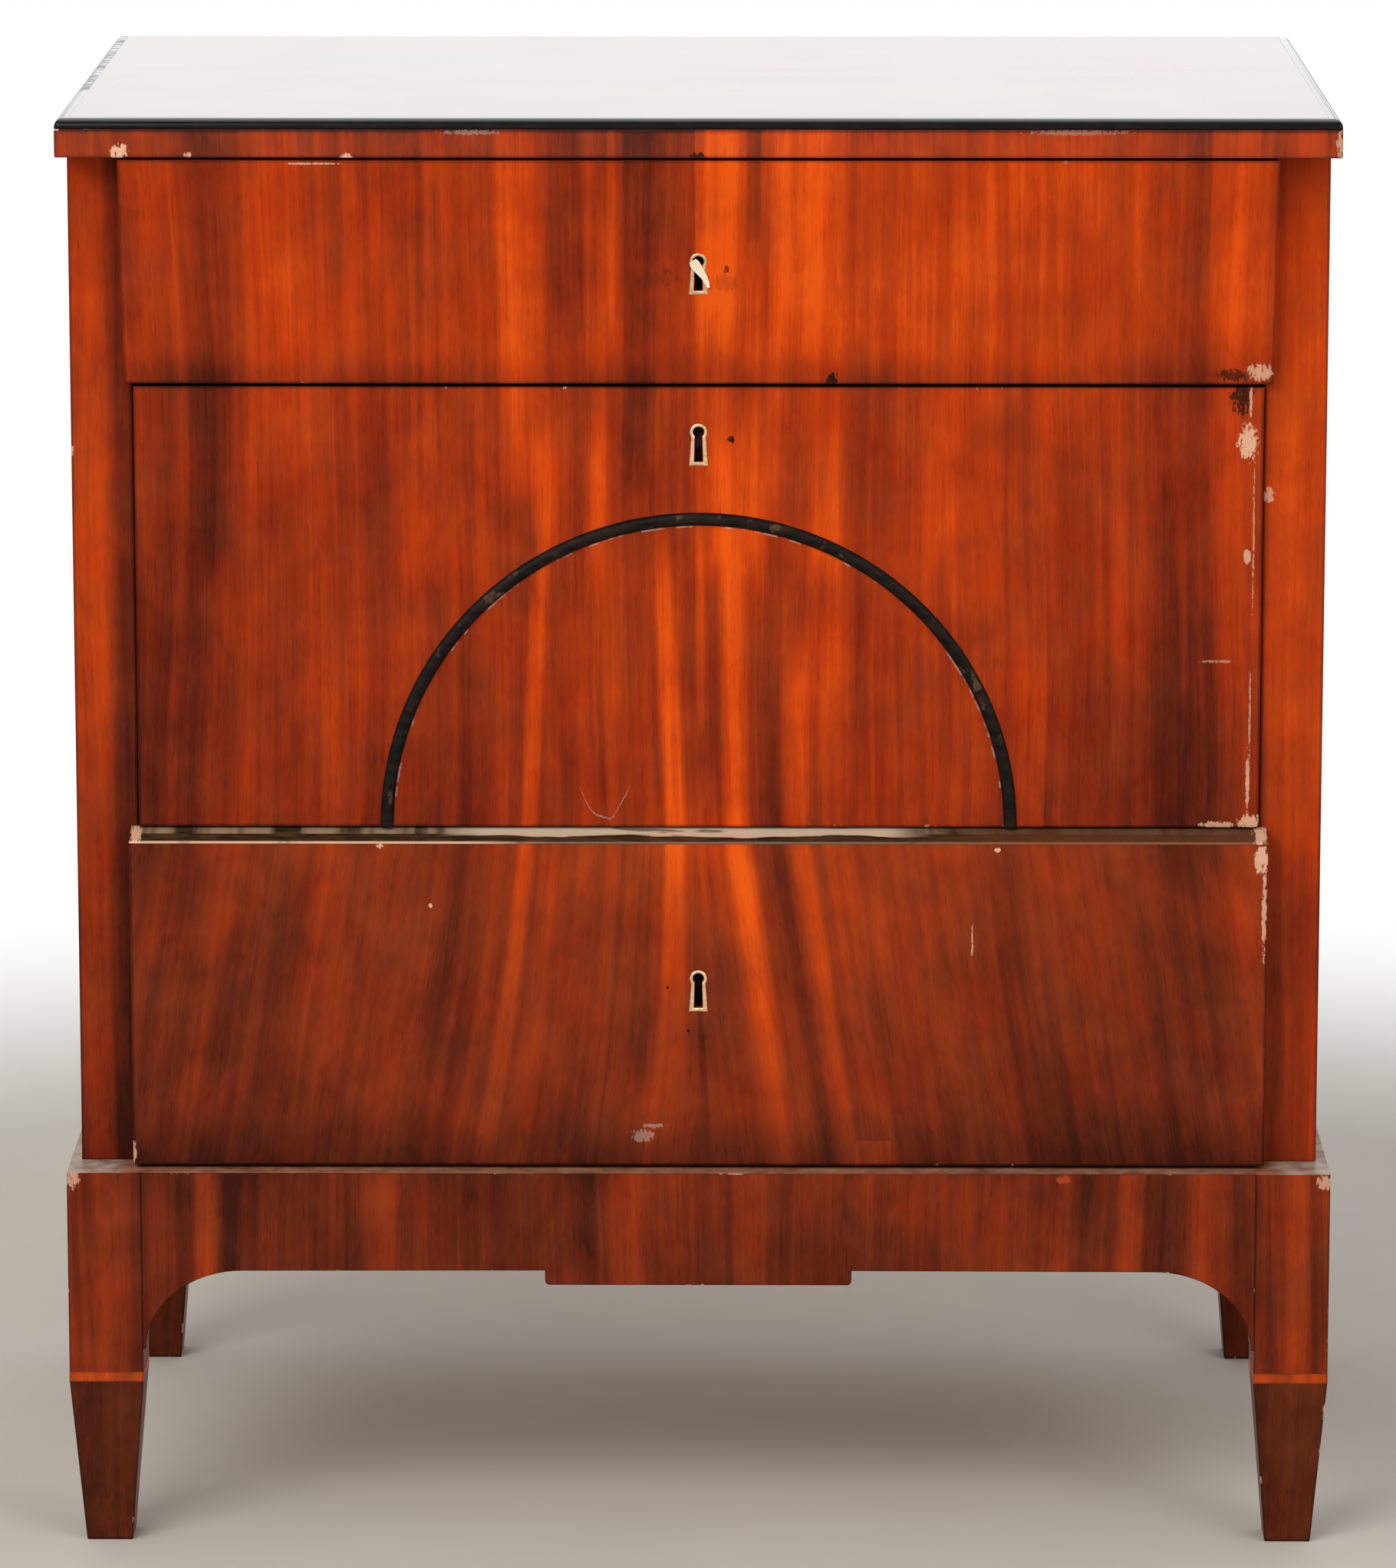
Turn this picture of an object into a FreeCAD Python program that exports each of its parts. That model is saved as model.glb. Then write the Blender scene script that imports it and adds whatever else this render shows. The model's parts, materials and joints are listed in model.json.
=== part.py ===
import FreeCAD, Part
import math
import os

# A chest of three drawers on its own stand, in millimetres.
# It stands on the plane z = 0, centred on x = 0 and y = 0, and its front faces -Y.

# Overall
case_width = 841.0
overall_depth = 530.0
base_height = 261.0

# Top board with its black rounded edge strip
top_overhang = 4.5
top_thickness = 26.0
bead_width = 9.0
bead_height = 7.0
bead_radius = 6.0

# Case
case_setback = 45.0
side_thickness = 20.0
stile_width = 42.0
stile_depth = 28.0
back_thickness = 12.0
back_rebate = 10.0
back_board_count = 2

# Rails, and the clear heights of the three drawer bays between them
rail_thickness = 18.0
rail_depth = 70.0
back_rail_depth = 52.0
bottom_bay = 197.0
middle_bay = 301.0
top_bay = 121.0

# Runners and guides inside the case
runner_width = 42.0
guide_height = 20.0
stop_width = 30.0
stop_depth = 12.0
stop_height = 6.0
stop_spread = 500.0

# Fits between a drawer and its bay
running_gap = 0.3
seat_gap = 0.3
side_gap = 0.8
head_gap = 1.0

# Drawer fronts
front_overlap = 4.8
core_depth = 20.0
middle_proud = 5.0
bottom_proud = 23.0
bottom_foot_gap = 2.5
ledge_gap = 0.8
ledge_rise = 6.2
top_proud_high = 43.0
top_proud_low = 8.0
top_foot_reveal = 3.5
top_head_gap = 2.0

# Drawer boxes
drawer_side_thickness = 12.0
drawer_back_thickness = 12.0
drawer_rear_gap = 18.0
drawer_side_drop = 10.0
drawer_back_drop = 5.0
panel_thickness = 7.0
panel_rise = 8.0
groove_depth = 5.0

# Dovetails
tail_length = 14.0
tail_pitch = 42.0
tail_root_width = 20.0
tail_tip_width = 26.0
tail_foot_margin = 20.0
tail_head_margin = 12.0

# Arch moulding on the middle drawer
arch_radius = 214.8
arch_width = 9.0
arch_proud = 3.4
arch_inset = 2.0

# Keyholes and their brass escutcheons
top_keyhole_drop = 71.0
middle_keyhole_drop = 30.7
bottom_keyhole_drop = 101.0
plate_round_radius = 6.6
plate_waist = 10.4
plate_foot = 12.2
plate_drop = 23.4
plate_depth = 5.0
hole_round_radius = 3.6
hole_waist = 4.6
hole_foot = 5.4
hole_drop = 20.4

# Locks
lock_width = 70.0
lock_depth = 12.0
lock_below_key = 22.0
lock_plate_width = 86.0
lock_plate_depth = 2.0
lock_plate_below = 8.0
lock_key_depth = 9.0
key_pin_radius = 1.5
bolt_width = 22.0
bolt_thickness = 5.0
bolt_throw = 8.0
bolt_sink = 0.5
bolt_gap = 0.3
bolt_above_key = 8.0
bolt_forward = 7.0
mortise_gap = 1.0
mortise_head_gap = 3.0

# Stand
base_overhang = 7.5
base_setback = 8.0
leg_width = 50.3
leg_tip_width = 31.0
taper_height = 114.5
band_height = 7.0
band_depth = 1.5
apron_height = 68.0
front_apron_thickness = 45.0
side_apron_thickness = 28.0
back_apron_thickness = 22.0
tablet_width = 208.0
tablet_drop = 10.0
tablet_corner = 3.0
bracket_reach = 66.0
bracket_fall = 55.0
bracket_toe = 2.0
bracket_edge = 0.5
bracket_thickness = 24.0
block_size = 25.0
block_length = 60.0
block_end_gap = 28.0

# Wood screws
screw_radius = 2.25
screw_head_radius = 4.5
screw_head_height = 3.0
screw_length = 35.0
screw_gap = 0.05
top_screw_spread = 600.0
top_screw_inner_spread = 240.0
top_screw_inset = 45.0

# Added to a cutter so that it passes right through
overrun = 5.0

# Planes and widths worked out from the sizes above
top_width = case_width + 2 * top_overhang
base_width = case_width + 2 * base_overhang
front_y = -overall_depth / 2
back_y = overall_depth / 2
leg_front_y = front_y + base_setback
stile_y = front_y + case_setback
stile_back_y = stile_y + stile_depth
inner_back_y = back_y - back_thickness
core_back_y = stile_y + core_depth
core_front_y = stile_y - seat_gap
drawer_rear_y = inner_back_y - drawer_rear_gap
case_x = case_width / 2
inner_x = case_x - side_thickness
bay_x = case_x - stile_width
core_x = bay_x - side_gap
facing_x = bay_x + front_overlap
drawer_inner_x = core_x - drawer_side_thickness
bottom_floor_z = base_height + rail_thickness
lower_rail_z = bottom_floor_z + bottom_bay
middle_floor_z = lower_rail_z + rail_thickness
upper_rail_z = middle_floor_z + middle_bay
top_floor_z = upper_rail_z + rail_thickness
top_rail_z = top_floor_z + top_bay
case_top_z = top_rail_z + rail_thickness
top_z = case_top_z + top_thickness

# A drawer's bay: its floor, its ceiling, and where its keyhole's round lies
bays = {
    "top": (top_floor_z, top_rail_z, case_top_z - top_keyhole_drop),
    "middle": (middle_floor_z, upper_rail_z, upper_rail_z - middle_keyhole_drop - head_gap),
    "bottom": (bottom_floor_z, lower_rail_z, middle_floor_z - bottom_keyhole_drop),
}

nodes = {}


def vector(x, y, z):
    return FreeCAD.Vector(x, y, z)


def box(x0, x1, y0, y1, z0, z1):
    return Part.makeBox(x1 - x0, y1 - y0, z1 - z0, vector(x0, y0, z0))


def mirror_x(shape):
    return shape.mirror(vector(0, 0, 0), vector(1, 0, 0))


def mirror_y(shape):
    return shape.mirror(vector(0, 0, 0), vector(0, 1, 0))


def solid_of(edges, direction):
    """Extrude the flat outline that the edges close."""
    wire = Part.Wire(Part.__sortEdges__(edges))
    return Part.Face(wire).extrude(direction)


def prism(points, direction):
    """Extrude the closed polygon through the points."""
    wire = Part.makePolygon(points + points[:1])
    return Part.Face(wire).extrude(direction)


def line(start, end):
    return Part.LineSegment(start, end).toShape()


def group(shapes):
    return Part.makeCompound(shapes)


def add(name, shape):
    nodes[name] = shape


def add_pair(name, left):
    """Name a left piece, and its mirror image on the right."""
    add(name + "_left", left)
    add(name + "_right", mirror_x(left))


# Screws

def screw_body(x, y, head_z, gap):
    """A countersunk wood screw that points up from its head."""
    foot = vector(x, y, head_z)
    up = vector(0, 0, 1)
    head = Part.makeCone(screw_head_radius + gap, screw_radius + gap, screw_head_height, foot, up)
    shank = Part.makeCylinder(screw_radius + gap, screw_length + gap, foot, up)
    return head.fuse(shank)


def top_screw_places():
    """Where screws rise through the two top rails into the top board."""
    front = stile_y + top_screw_inset
    rear = inner_back_y - back_rail_depth / 2
    outer = top_screw_spread / 2
    inner = top_screw_inner_spread / 2
    return [(x, y) for y in (front, rear) for x in (-outer, -inner, inner, outer)]


def block_places():
    """Centres of the glue blocks, inside the two ends of each side apron."""
    x = base_width / 2 - side_apron_thickness - block_size / 2
    from_leg = leg_width + block_end_gap + block_length / 2
    return [(side * x, y) for side in (-1, 1) for y in (leg_front_y + from_leg, back_y - from_leg)]


def screw_holes(places, head_z):
    return [screw_body(x, y, head_z, screw_gap) for x, y in places]


def block_bottom():
    return base_height - block_size


def wood_screws():
    upper = [screw_body(x, y, top_rail_z, 0) for x, y in top_screw_places()]
    lower = [screw_body(x, y, block_bottom(), 0) for x, y in block_places()]
    return group(upper + lower)


# Top

def bead_blank():
    """The strip's whole run along the front and both ends, before its mitres."""
    half = top_width / 2
    outer = box(-half, half, front_y, back_y, top_z - bead_height, top_z)
    edges = []
    for edge in outer.Edges:
        box_of = edge.BoundBox
        on_top = box_of.ZMin > top_z - bead_height / 2
        at_back = box_of.YMin > back_y - bead_width
        if on_top and not at_back:
            edges.append(edge)
    rounded = outer.makeFillet(bead_radius, edges)
    core = box(-half + bead_width, half - bead_width, front_y + bead_width, back_y + overrun,
               top_z - bead_height - overrun, top_z + overrun)
    return rounded.cut(core)


def top_edge_bead():
    """Three strips of blackened wood, mitred at the two front corners."""
    half = top_width / 2
    reach = half + overrun
    low = top_z - bead_height - overrun
    rise = vector(0, 0, bead_height + 2 * overrun)
    corner = vector(half + overrun, front_y - overrun, low)
    wedge = prism([corner, vector(-reach, front_y - overrun, low), vector(0, front_y + reach - overrun, low)],
                  rise)
    blank = bead_blank()
    front = blank.common(wedge)
    ends = blank.cut(wedge)
    return group(front.Solids + ends.Solids)


def top_board():
    half = top_width / 2
    board = box(-half, half, front_y, back_y, case_top_z, top_z)
    step = box(-half - overrun, half + overrun, front_y - overrun, back_y + overrun,
               top_z - bead_height, top_z + overrun)
    keep = box(-half + bead_width, half - bead_width, front_y + bead_width, back_y + overrun,
               top_z - bead_height - overrun, top_z + 2 * overrun)
    board = board.cut(step.cut(keep))
    return board.cut(group(screw_holes(top_screw_places(), top_rail_z)))


# Case

def case_side_left():
    """A side board behind the stile, rebated at its rear for the back boards."""
    board = box(-case_x, -inner_x, stile_back_y, back_y, base_height, case_top_z)
    rebate = box(-inner_x - back_rebate, -inner_x + overrun, inner_back_y, back_y + overrun,
                 base_height - overrun, case_top_z + overrun)
    return board.cut(rebate)


def stile_left():
    return box(-case_x, -bay_x, stile_y, stile_back_y, base_height, case_top_z)


def cross_board(rear_y, z0):
    """A board that fits between the stiles in front and the sides behind them."""
    z1 = z0 + rail_thickness
    front = box(-bay_x, bay_x, stile_y, stile_back_y, z0, z1)
    rear = box(-inner_x, inner_x, stile_back_y, rear_y, z0, z1)
    return front.fuse(rear).removeSplitter()


def bolt_mortise(ceiling_z):
    """The pocket above a lock, into which its bolt rises."""
    half = bolt_width / 2 + mortise_gap
    y = core_back_y - bolt_forward
    reach = bolt_thickness / 2 + mortise_gap
    high = ceiling_z + bolt_throw + mortise_head_gap
    return box(-half, half, y - reach, y + reach, ceiling_z - overrun, high)


def front_rail(z0):
    return cross_board(stile_y + rail_depth, z0).cut(bolt_mortise(z0))


def case_bottom():
    board = cross_board(inner_back_y, base_height)
    return board.cut(group(screw_holes(block_places(), block_bottom())))


def top_rail_front():
    return front_rail(top_rail_z).cut(group(screw_holes(top_screw_places(), top_rail_z)))


def top_rail_back():
    rail = box(-inner_x, inner_x, inner_back_y - back_rail_depth, inner_back_y, top_rail_z, case_top_z)
    return rail.cut(group(screw_holes(top_screw_places(), top_rail_z)))


def runner_left(floor_z):
    """A runner behind a rail, with a raised lip that guides the drawer's side."""
    front = stile_y + rail_depth
    bed = box(-inner_x, -inner_x + runner_width, front, inner_back_y, floor_z - rail_thickness, floor_z)
    lip = box(-inner_x, -bay_x, front, inner_back_y, floor_z, floor_z + guide_height)
    return bed.fuse(lip).removeSplitter()


def bottom_guide_left():
    return box(-inner_x, -bay_x, stile_back_y, inner_back_y, bottom_floor_z, bottom_floor_z + guide_height)


def back_board(index):
    half = inner_x + back_rebate
    height = (case_top_z - base_height) / back_board_count
    z0 = base_height + index * height
    return box(-half, half, inner_back_y, back_y, z0, z0 + height)


def drawer_stops():
    """Two blocks on the lower rail, behind the middle drawer's front."""
    y0 = core_back_y + seat_gap
    blocks = []
    for side in (-1, 1):
        x = side * stop_spread / 2
        blocks.append(box(x - stop_width / 2, x + stop_width / 2, y0, y0 + stop_depth,
                          middle_floor_z, middle_floor_z + stop_height))
    return group(blocks)


# Keyholes

def key_outline(radius, waist, foot, drop, y, z):
    """A round head above a straight slot that widens to its foot."""
    half = waist / 2
    dip = math.sqrt(radius ** 2 - half ** 2)
    left = vector(-half, y, z - dip)
    right = vector(half, y, z - dip)
    left_foot = vector(-foot / 2, y, z - drop)
    right_foot = vector(foot / 2, y, z - drop)
    head = Part.Arc(left, vector(0, y, z + radius), right).toShape()
    return [head, line(right, right_foot), line(right_foot, left_foot), line(left_foot, left)]


def key_prism(shape_of, y0, y1, z):
    radius, waist, foot, drop = shape_of
    return solid_of(key_outline(radius, waist, foot, drop, y0, z), vector(0, y1 - y0, 0))


hole_shape = (hole_round_radius, hole_waist, hole_foot, hole_drop)
plate_shape = (plate_round_radius, plate_waist, plate_foot, plate_drop)


def lean_angle():
    """How far the top drawer's front leans out, in degrees."""
    fall = (case_top_z - top_head_gap) - (upper_rail_z + top_foot_reveal)
    return math.degrees(math.atan2(top_proud_high - top_proud_low, fall))


def face_y(name, z):
    """The y of a drawer front's outer face at the height z."""
    if name == "middle":
        return stile_y - middle_proud
    if name == "bottom":
        return stile_y - bottom_proud
    foot = upper_rail_z + top_foot_reveal
    return stile_y - top_proud_low - (z - foot) * math.tan(math.radians(lean_angle()))


def seated(name, shape):
    """Turn a piece square to the drawer's face, about its keyhole's round."""
    if name != "top":
        return shape
    z = bays[name][2]
    turned = shape.copy()
    turned.rotate(vector(0, face_y(name, z), z), vector(1, 0, 0), lean_angle())
    return turned


def escutcheon_blank(name):
    y = face_y(name, bays[name][2])
    return seated(name, key_prism(plate_shape, y, y + plate_depth, bays[name][2]))


def escutcheon(name):
    """An inlaid brass frame, flush with the drawer's face."""
    y = face_y(name, bays[name][2])
    hole = key_prism(hole_shape, y - overrun, y + plate_depth + overrun, bays[name][2])
    return escutcheon_blank(name).cut(seated(name, hole))


# Locks

def lock_top(name):
    return bays[name][1] - head_gap


def lock_blank(name):
    """The lock's case and its wider plate, let into the back of the front."""
    z0 = bays[name][2] - lock_below_key
    case = box(-lock_width / 2, lock_width / 2, core_back_y - lock_depth, core_back_y, z0, lock_top(name))
    plate = box(-lock_plate_width / 2, lock_plate_width / 2, core_back_y - lock_plate_depth, core_back_y,
                z0 - lock_plate_below, lock_top(name))
    return case.fuse(plate).removeSplitter()


def bolt_solid(name, gap):
    """The bolt at rest, or with a gap all round, its channel in the lock."""
    half = bolt_width / 2 + gap
    reach = bolt_thickness / 2 + gap
    y = core_back_y - bolt_forward
    z0 = bays[name][2] + bolt_above_key - gap
    z1 = lock_top(name) - bolt_sink
    if gap:
        z1 = lock_top(name) + overrun
    return box(-half, half, y - reach, y + reach, z0, z1)


def lock_case(name):
    """The lock, open at the top for its bolt and in front for the key, with a pin for a pipe key."""
    z = bays[name][2]
    front = core_back_y - lock_depth
    key_way = key_prism(hole_shape, front - overrun, front + lock_key_depth, z)
    pin = Part.makeCylinder(key_pin_radius, lock_key_depth, vector(0, front, z), vector(0, 1, 0))
    return lock_blank(name).cut(bolt_solid(name, bolt_gap)).cut(key_way).fuse(pin)


# Drawers

def tails(x0, x1, root_y, tip_y, z0, z1):
    """A row of dovetails that stand out from a side's end, wider at their tips."""
    count = max(1, int((z1 - z0) // tail_pitch))
    pitch = (z1 - z0) / count
    row = []
    for index in range(count):
        z = z0 + (index + 0.5) * pitch
        root = tail_root_width / 2
        tip = tail_tip_width / 2
        row.append(prism([vector(x0, root_y, z - root), vector(x0, tip_y, z - tip),
                          vector(x0, tip_y, z + tip), vector(x0, root_y, z + root)],
                         vector(x1 - x0, 0, 0)))
    return row


def side_bottom(name):
    return bays[name][0] + running_gap


def side_top(name):
    return bays[name][1] - drawer_side_drop


def panel_bottom(name):
    return side_bottom(name) + panel_rise


def panel_top(name):
    return panel_bottom(name) + panel_thickness


def left_tails(name, end):
    """The dovetails of the left side, at its front or rear end."""
    x0 = -core_x
    x1 = -drawer_inner_x
    low = side_bottom(name) + tail_foot_margin
    high = side_top(name) - tail_head_margin
    if end == "front":
        return tails(x0, x1, core_back_y, core_back_y - tail_length, low, high)
    return tails(x0, x1, drawer_rear_y - drawer_back_thickness, drawer_rear_y, low, high)


def all_tails(name, end):
    left = group(left_tails(name, end))
    return group([left, mirror_x(left)])


def drawer_side_left(name):
    body = box(-core_x, -drawer_inner_x, core_back_y, drawer_rear_y - drawer_back_thickness,
               side_bottom(name), side_top(name))
    foot = box(-core_x, -drawer_inner_x, drawer_rear_y - drawer_back_thickness, drawer_rear_y,
               side_bottom(name), panel_top(name))
    body = body.fuse(left_tails(name, "front") + left_tails(name, "rear") + [foot]).removeSplitter()
    groove = box(-drawer_inner_x - groove_depth, -drawer_inner_x + overrun, core_back_y,
                 drawer_rear_y + overrun, panel_bottom(name), panel_top(name))
    return body.cut(groove)


def drawer_back(name):
    board = box(-core_x, core_x, drawer_rear_y - drawer_back_thickness, drawer_rear_y,
                panel_top(name), side_top(name) - drawer_back_drop)
    return board.cut(all_tails(name, "rear"))


def drawer_panel(name):
    half = drawer_inner_x + groove_depth
    return box(-half, half, core_back_y - groove_depth, drawer_rear_y, panel_bottom(name), panel_top(name))


def front_core(name, front):
    """The part of a front that enters its bay."""
    return box(-core_x, core_x, front, core_back_y, side_bottom(name), lock_top(name))


def top_facing():
    """The leaning face that laps over the stiles and the rail below."""
    low = upper_rail_z + top_foot_reveal
    high = case_top_z - top_head_gap
    return prism([vector(-facing_x, core_front_y, low), vector(-facing_x, face_y("top", low), low),
                  vector(-facing_x, face_y("top", high), high), vector(-facing_x, core_front_y, high)],
                 vector(2 * facing_x, 0, 0))


def bottom_facing():
    """The face that stands out below the middle drawer, with a ledge that falls to its front."""
    low = base_height + bottom_foot_gap
    high = middle_floor_z - ledge_gap
    face = face_y("bottom", low)
    return prism([vector(-facing_x, core_front_y, low), vector(-facing_x, face, low),
                  vector(-facing_x, face, high - ledge_rise), vector(-facing_x, core_front_y, high)],
                 vector(2 * facing_x, 0, 0))


def arch_ring(inner, outer, y0, y1):
    """A half ring that stands on the middle drawer's lower edge."""
    centre = vector(0, y0, side_bottom("middle"))
    along = vector(0, 1, 0)
    hole = Part.makeCylinder(inner, y1 - y0, centre, along)
    ring = Part.makeCylinder(outer, y1 - y0, centre, along).cut(hole)
    upper = box(-outer, outer, y0, y1, side_bottom("middle"), side_bottom("middle") + outer)
    return ring.common(upper)


def drawer_front(name):
    """A drawer's front, cut for its dovetails, bottom, lock, keyhole and trim."""
    if name == "middle":
        front = front_core(name, face_y(name, 0))
        face = face_y(name, 0)
        front = front.cut(arch_ring(arch_radius - arch_width, arch_radius, face, face + arch_inset))
    if name == "top":
        front = front_core(name, core_front_y).fuse(top_facing()).removeSplitter()
    if name == "bottom":
        front = front_core(name, core_front_y).fuse(bottom_facing()).removeSplitter()
    key_z = bays[name][2]
    key_way = key_prism(hole_shape, front_y - overrun, core_back_y - lock_depth + overrun, key_z)
    half = drawer_inner_x + groove_depth
    groove = box(-half, half, core_back_y - groove_depth, core_back_y + overrun,
                 panel_bottom(name), panel_top(name))
    cutters = [all_tails(name, "front"), groove, lock_blank(name), key_way, escutcheon_blank(name)]
    for cutter in cutters:
        front = front.cut(cutter)
    return front


def arch_moulding():
    """A half round strip bent to a semicircle and let into the middle drawer's face."""
    face = face_y("middle", 0)
    foot_z = side_bottom("middle")
    inner = arch_radius - arch_width
    middle = arch_radius - arch_width / 2
    sunk = face + arch_inset
    inner_face = vector(inner, face, foot_z)
    outer_face = vector(arch_radius, face, foot_z)
    inner_sunk = vector(inner, sunk, foot_z)
    outer_sunk = vector(arch_radius, sunk, foot_z)
    crown = Part.Arc(outer_face, vector(middle, face - arch_proud, foot_z), inner_face).toShape()
    edges = [line(inner_face, inner_sunk), line(inner_sunk, outer_sunk), line(outer_sunk, outer_face), crown]
    section = Part.Face(Part.Wire(Part.__sortEdges__(edges)))
    return section.revolve(vector(0, 0, foot_z), vector(0, -1, 0), 180)


def add_drawer(name):
    add(name + "_drawer_front", drawer_front(name))
    add_pair(name + "_drawer_side", drawer_side_left(name))
    add(name + "_drawer_back", drawer_back(name))
    add(name + "_drawer_bottom", drawer_panel(name))
    add(name + "_escutcheon", escutcheon(name))
    add(name + "_lock_case", lock_case(name))
    add(name + "_lock_bolt", bolt_solid(name, 0))


# Stand

def square_wire(x, y, width, z):
    half = width / 2
    corners = [vector(x - half, y - half, z), vector(x + half, y - half, z),
               vector(x + half, y + half, z), vector(x - half, y + half, z)]
    return Part.makePolygon(corners + corners[:1])


def leg_centre():
    """The centre of the left front leg."""
    return -base_width / 2 + leg_width / 2, leg_front_y + leg_width / 2


def band_blank(x, y):
    half = leg_width / 2
    z0 = taper_height
    outer = box(x - half, x + half, y - half, y + half, z0, z0 + band_height)
    half = half - band_depth
    inner = box(x - half, x + half, y - half, y + half, z0, z0 + band_height)
    return outer.cut(inner)


def front_leg_left():
    """A square leg, tapered on all four sides below its inlaid band."""
    x, y = leg_centre()
    half = leg_width / 2
    foot = Part.makeLoft([square_wire(x, y, leg_tip_width, 0), square_wire(x, y, leg_width, taper_height)],
                         True, True)
    post = box(x - half, x + half, y - half, y + half, taper_height, base_height)
    return foot.fuse(post).removeSplitter().cut(band_blank(x, y))


def rear_shift():
    """How far back the rear leg stands from the front one."""
    x, y = leg_centre()
    return vector(0, back_y - leg_width / 2 - y, 0)


def moved(shape, offset):
    copy = shape.copy()
    copy.translate(offset)
    return copy


def leg_bands():
    """A light strip round each of the four legs."""
    x, y = leg_centre()
    front = band_blank(x, y)
    pair = [front, moved(front, rear_shift())]
    return group(pair + [mirror_x(one) for one in pair])


def apron_foot_z():
    return base_height - apron_height


def front_apron():
    """The front board of the stand, with a shallow tablet below its middle."""
    face = leg_front_y
    half = base_width / 2 - leg_width
    board = box(-half, half, face, face + front_apron_thickness, apron_foot_z(), base_height)
    low = apron_foot_z() - tablet_drop
    tablet = box(-tablet_width / 2, tablet_width / 2, face, face + front_apron_thickness, low, apron_foot_z())
    corners = [edge for edge in tablet.Edges
               if edge.BoundBox.ZMax < low + tablet_drop / 2 and edge.BoundBox.XLength < tablet_corner]
    tablet = tablet.makeFillet(tablet_corner, corners)
    return board.fuse(tablet).removeSplitter()


def side_apron_left():
    x0 = -base_width / 2
    y0 = leg_front_y + leg_width
    return box(x0, x0 + side_apron_thickness, y0, back_y - leg_width, apron_foot_z(), base_height)


def back_apron():
    half = base_width / 2 - leg_width
    return box(-half, half, back_y - back_apron_thickness, back_y, apron_foot_z(), base_height)


def bracket():
    """A corner piece below an apron's end, hollowed by a quarter of an ellipse.

    Its square corner lies at the origin. It reaches along -X and down, and its thickness lies along +Y.
    """
    toe = vector(-bracket_toe, 0, -bracket_fall - bracket_edge)
    tip = vector(-bracket_toe - bracket_reach, 0, -bracket_edge)
    centre = vector(tip.x, 0, toe.z)
    curve = Part.Ellipse(vector(toe.x, 0, toe.z), vector(centre.x, 0, tip.z), centre)
    hollow = Part.Edge(curve, 0, math.pi / 2)
    top_tip = vector(tip.x, 0, 0)
    corner = vector(0, 0, 0)
    heel = vector(0, 0, toe.z)
    edges = [hollow, line(tip, top_tip), line(top_tip, corner), line(corner, heel), line(heel, toe)]
    return solid_of(edges, vector(0, bracket_thickness, 0))


def front_bracket_right():
    inner = base_width / 2 - leg_width
    return moved(bracket(), vector(inner, leg_front_y, apron_foot_z()))


def side_brackets_right():
    """The brackets below the two ends of the right side's apron."""
    turned = bracket()
    turned.rotate(vector(0, 0, 0), vector(0, 0, 1), 90)
    rear = moved(turned, vector(base_width / 2, back_y - leg_width, apron_foot_z()))
    front = mirror_y(turned)
    front = moved(front, vector(base_width / 2, leg_front_y + leg_width, apron_foot_z()))
    return group([front, rear])


def glue_blocks():
    """Blocks in the corner between the side aprons and the case's bottom board."""
    holes = group(screw_holes(block_places(), block_bottom()))
    blocks = []
    for x, y in block_places():
        blank = box(x - block_size / 2, x + block_size / 2, y - block_length / 2, y + block_length / 2,
                    block_bottom(), base_height)
        blocks.append(blank.cut(holes))
    return group(blocks)


def add_top():
    add("top_board", top_board())
    add("top_edge_bead", top_edge_bead())


def add_case():
    add_pair("case_side", case_side_left())
    add_pair("stile", stile_left())
    add("case_bottom", case_bottom())
    add("lower_rail", front_rail(lower_rail_z))
    add("upper_rail", front_rail(upper_rail_z))
    add("top_rail_front", top_rail_front())
    add("top_rail_back", top_rail_back())
    add_pair("bottom_guide", bottom_guide_left())
    add_pair("middle_runner", runner_left(middle_floor_z))
    add_pair("top_runner", runner_left(top_floor_z))
    for index in range(back_board_count):
        add("back_board_%d" % (index + 1), back_board(index))
    add("drawer_stops", drawer_stops())
    add("wood_screws", wood_screws())


def add_stand():
    leg = front_leg_left()
    add_pair("front_leg", leg)
    add_pair("back_leg", moved(leg, rear_shift()))
    add("leg_bands", leg_bands())
    add("front_apron", front_apron())
    add_pair("side_apron", side_apron_left())
    add("back_apron", back_apron())
    add_pair("front_bracket", mirror_x(front_bracket_right()))
    add_pair("side_brackets", mirror_x(side_brackets_right()))
    add("glue_blocks", glue_blocks())


def main():
    add_top()
    add_case()
    for name in ("top", "middle", "bottom"):
        add_drawer(name)
    add("arch_moulding", arch_moulding())
    add_stand()
    os.makedirs("parts", exist_ok=True)
    for name, shape in nodes.items():
        shape.exportStep("parts/%s.step" % name)
        print(name, len(shape.Solids), "solid(s), volume", round(shape.Volume), "valid", shape.isValid())
    print(len(nodes), "nodes")


main()
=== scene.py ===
# %% [markdown]
# # A chest of three drawers
# The real chest is a pine case under mahogany veneer, on a stand with tapered legs.
# Its plain solids come in as a frame, already in place and in metres.
# One could model every board again from nothing. Here the frame gives each piece its size and place,
# so that the new boards, veneers and mouldings can't drift away from the joints that carry them.

import json

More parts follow.
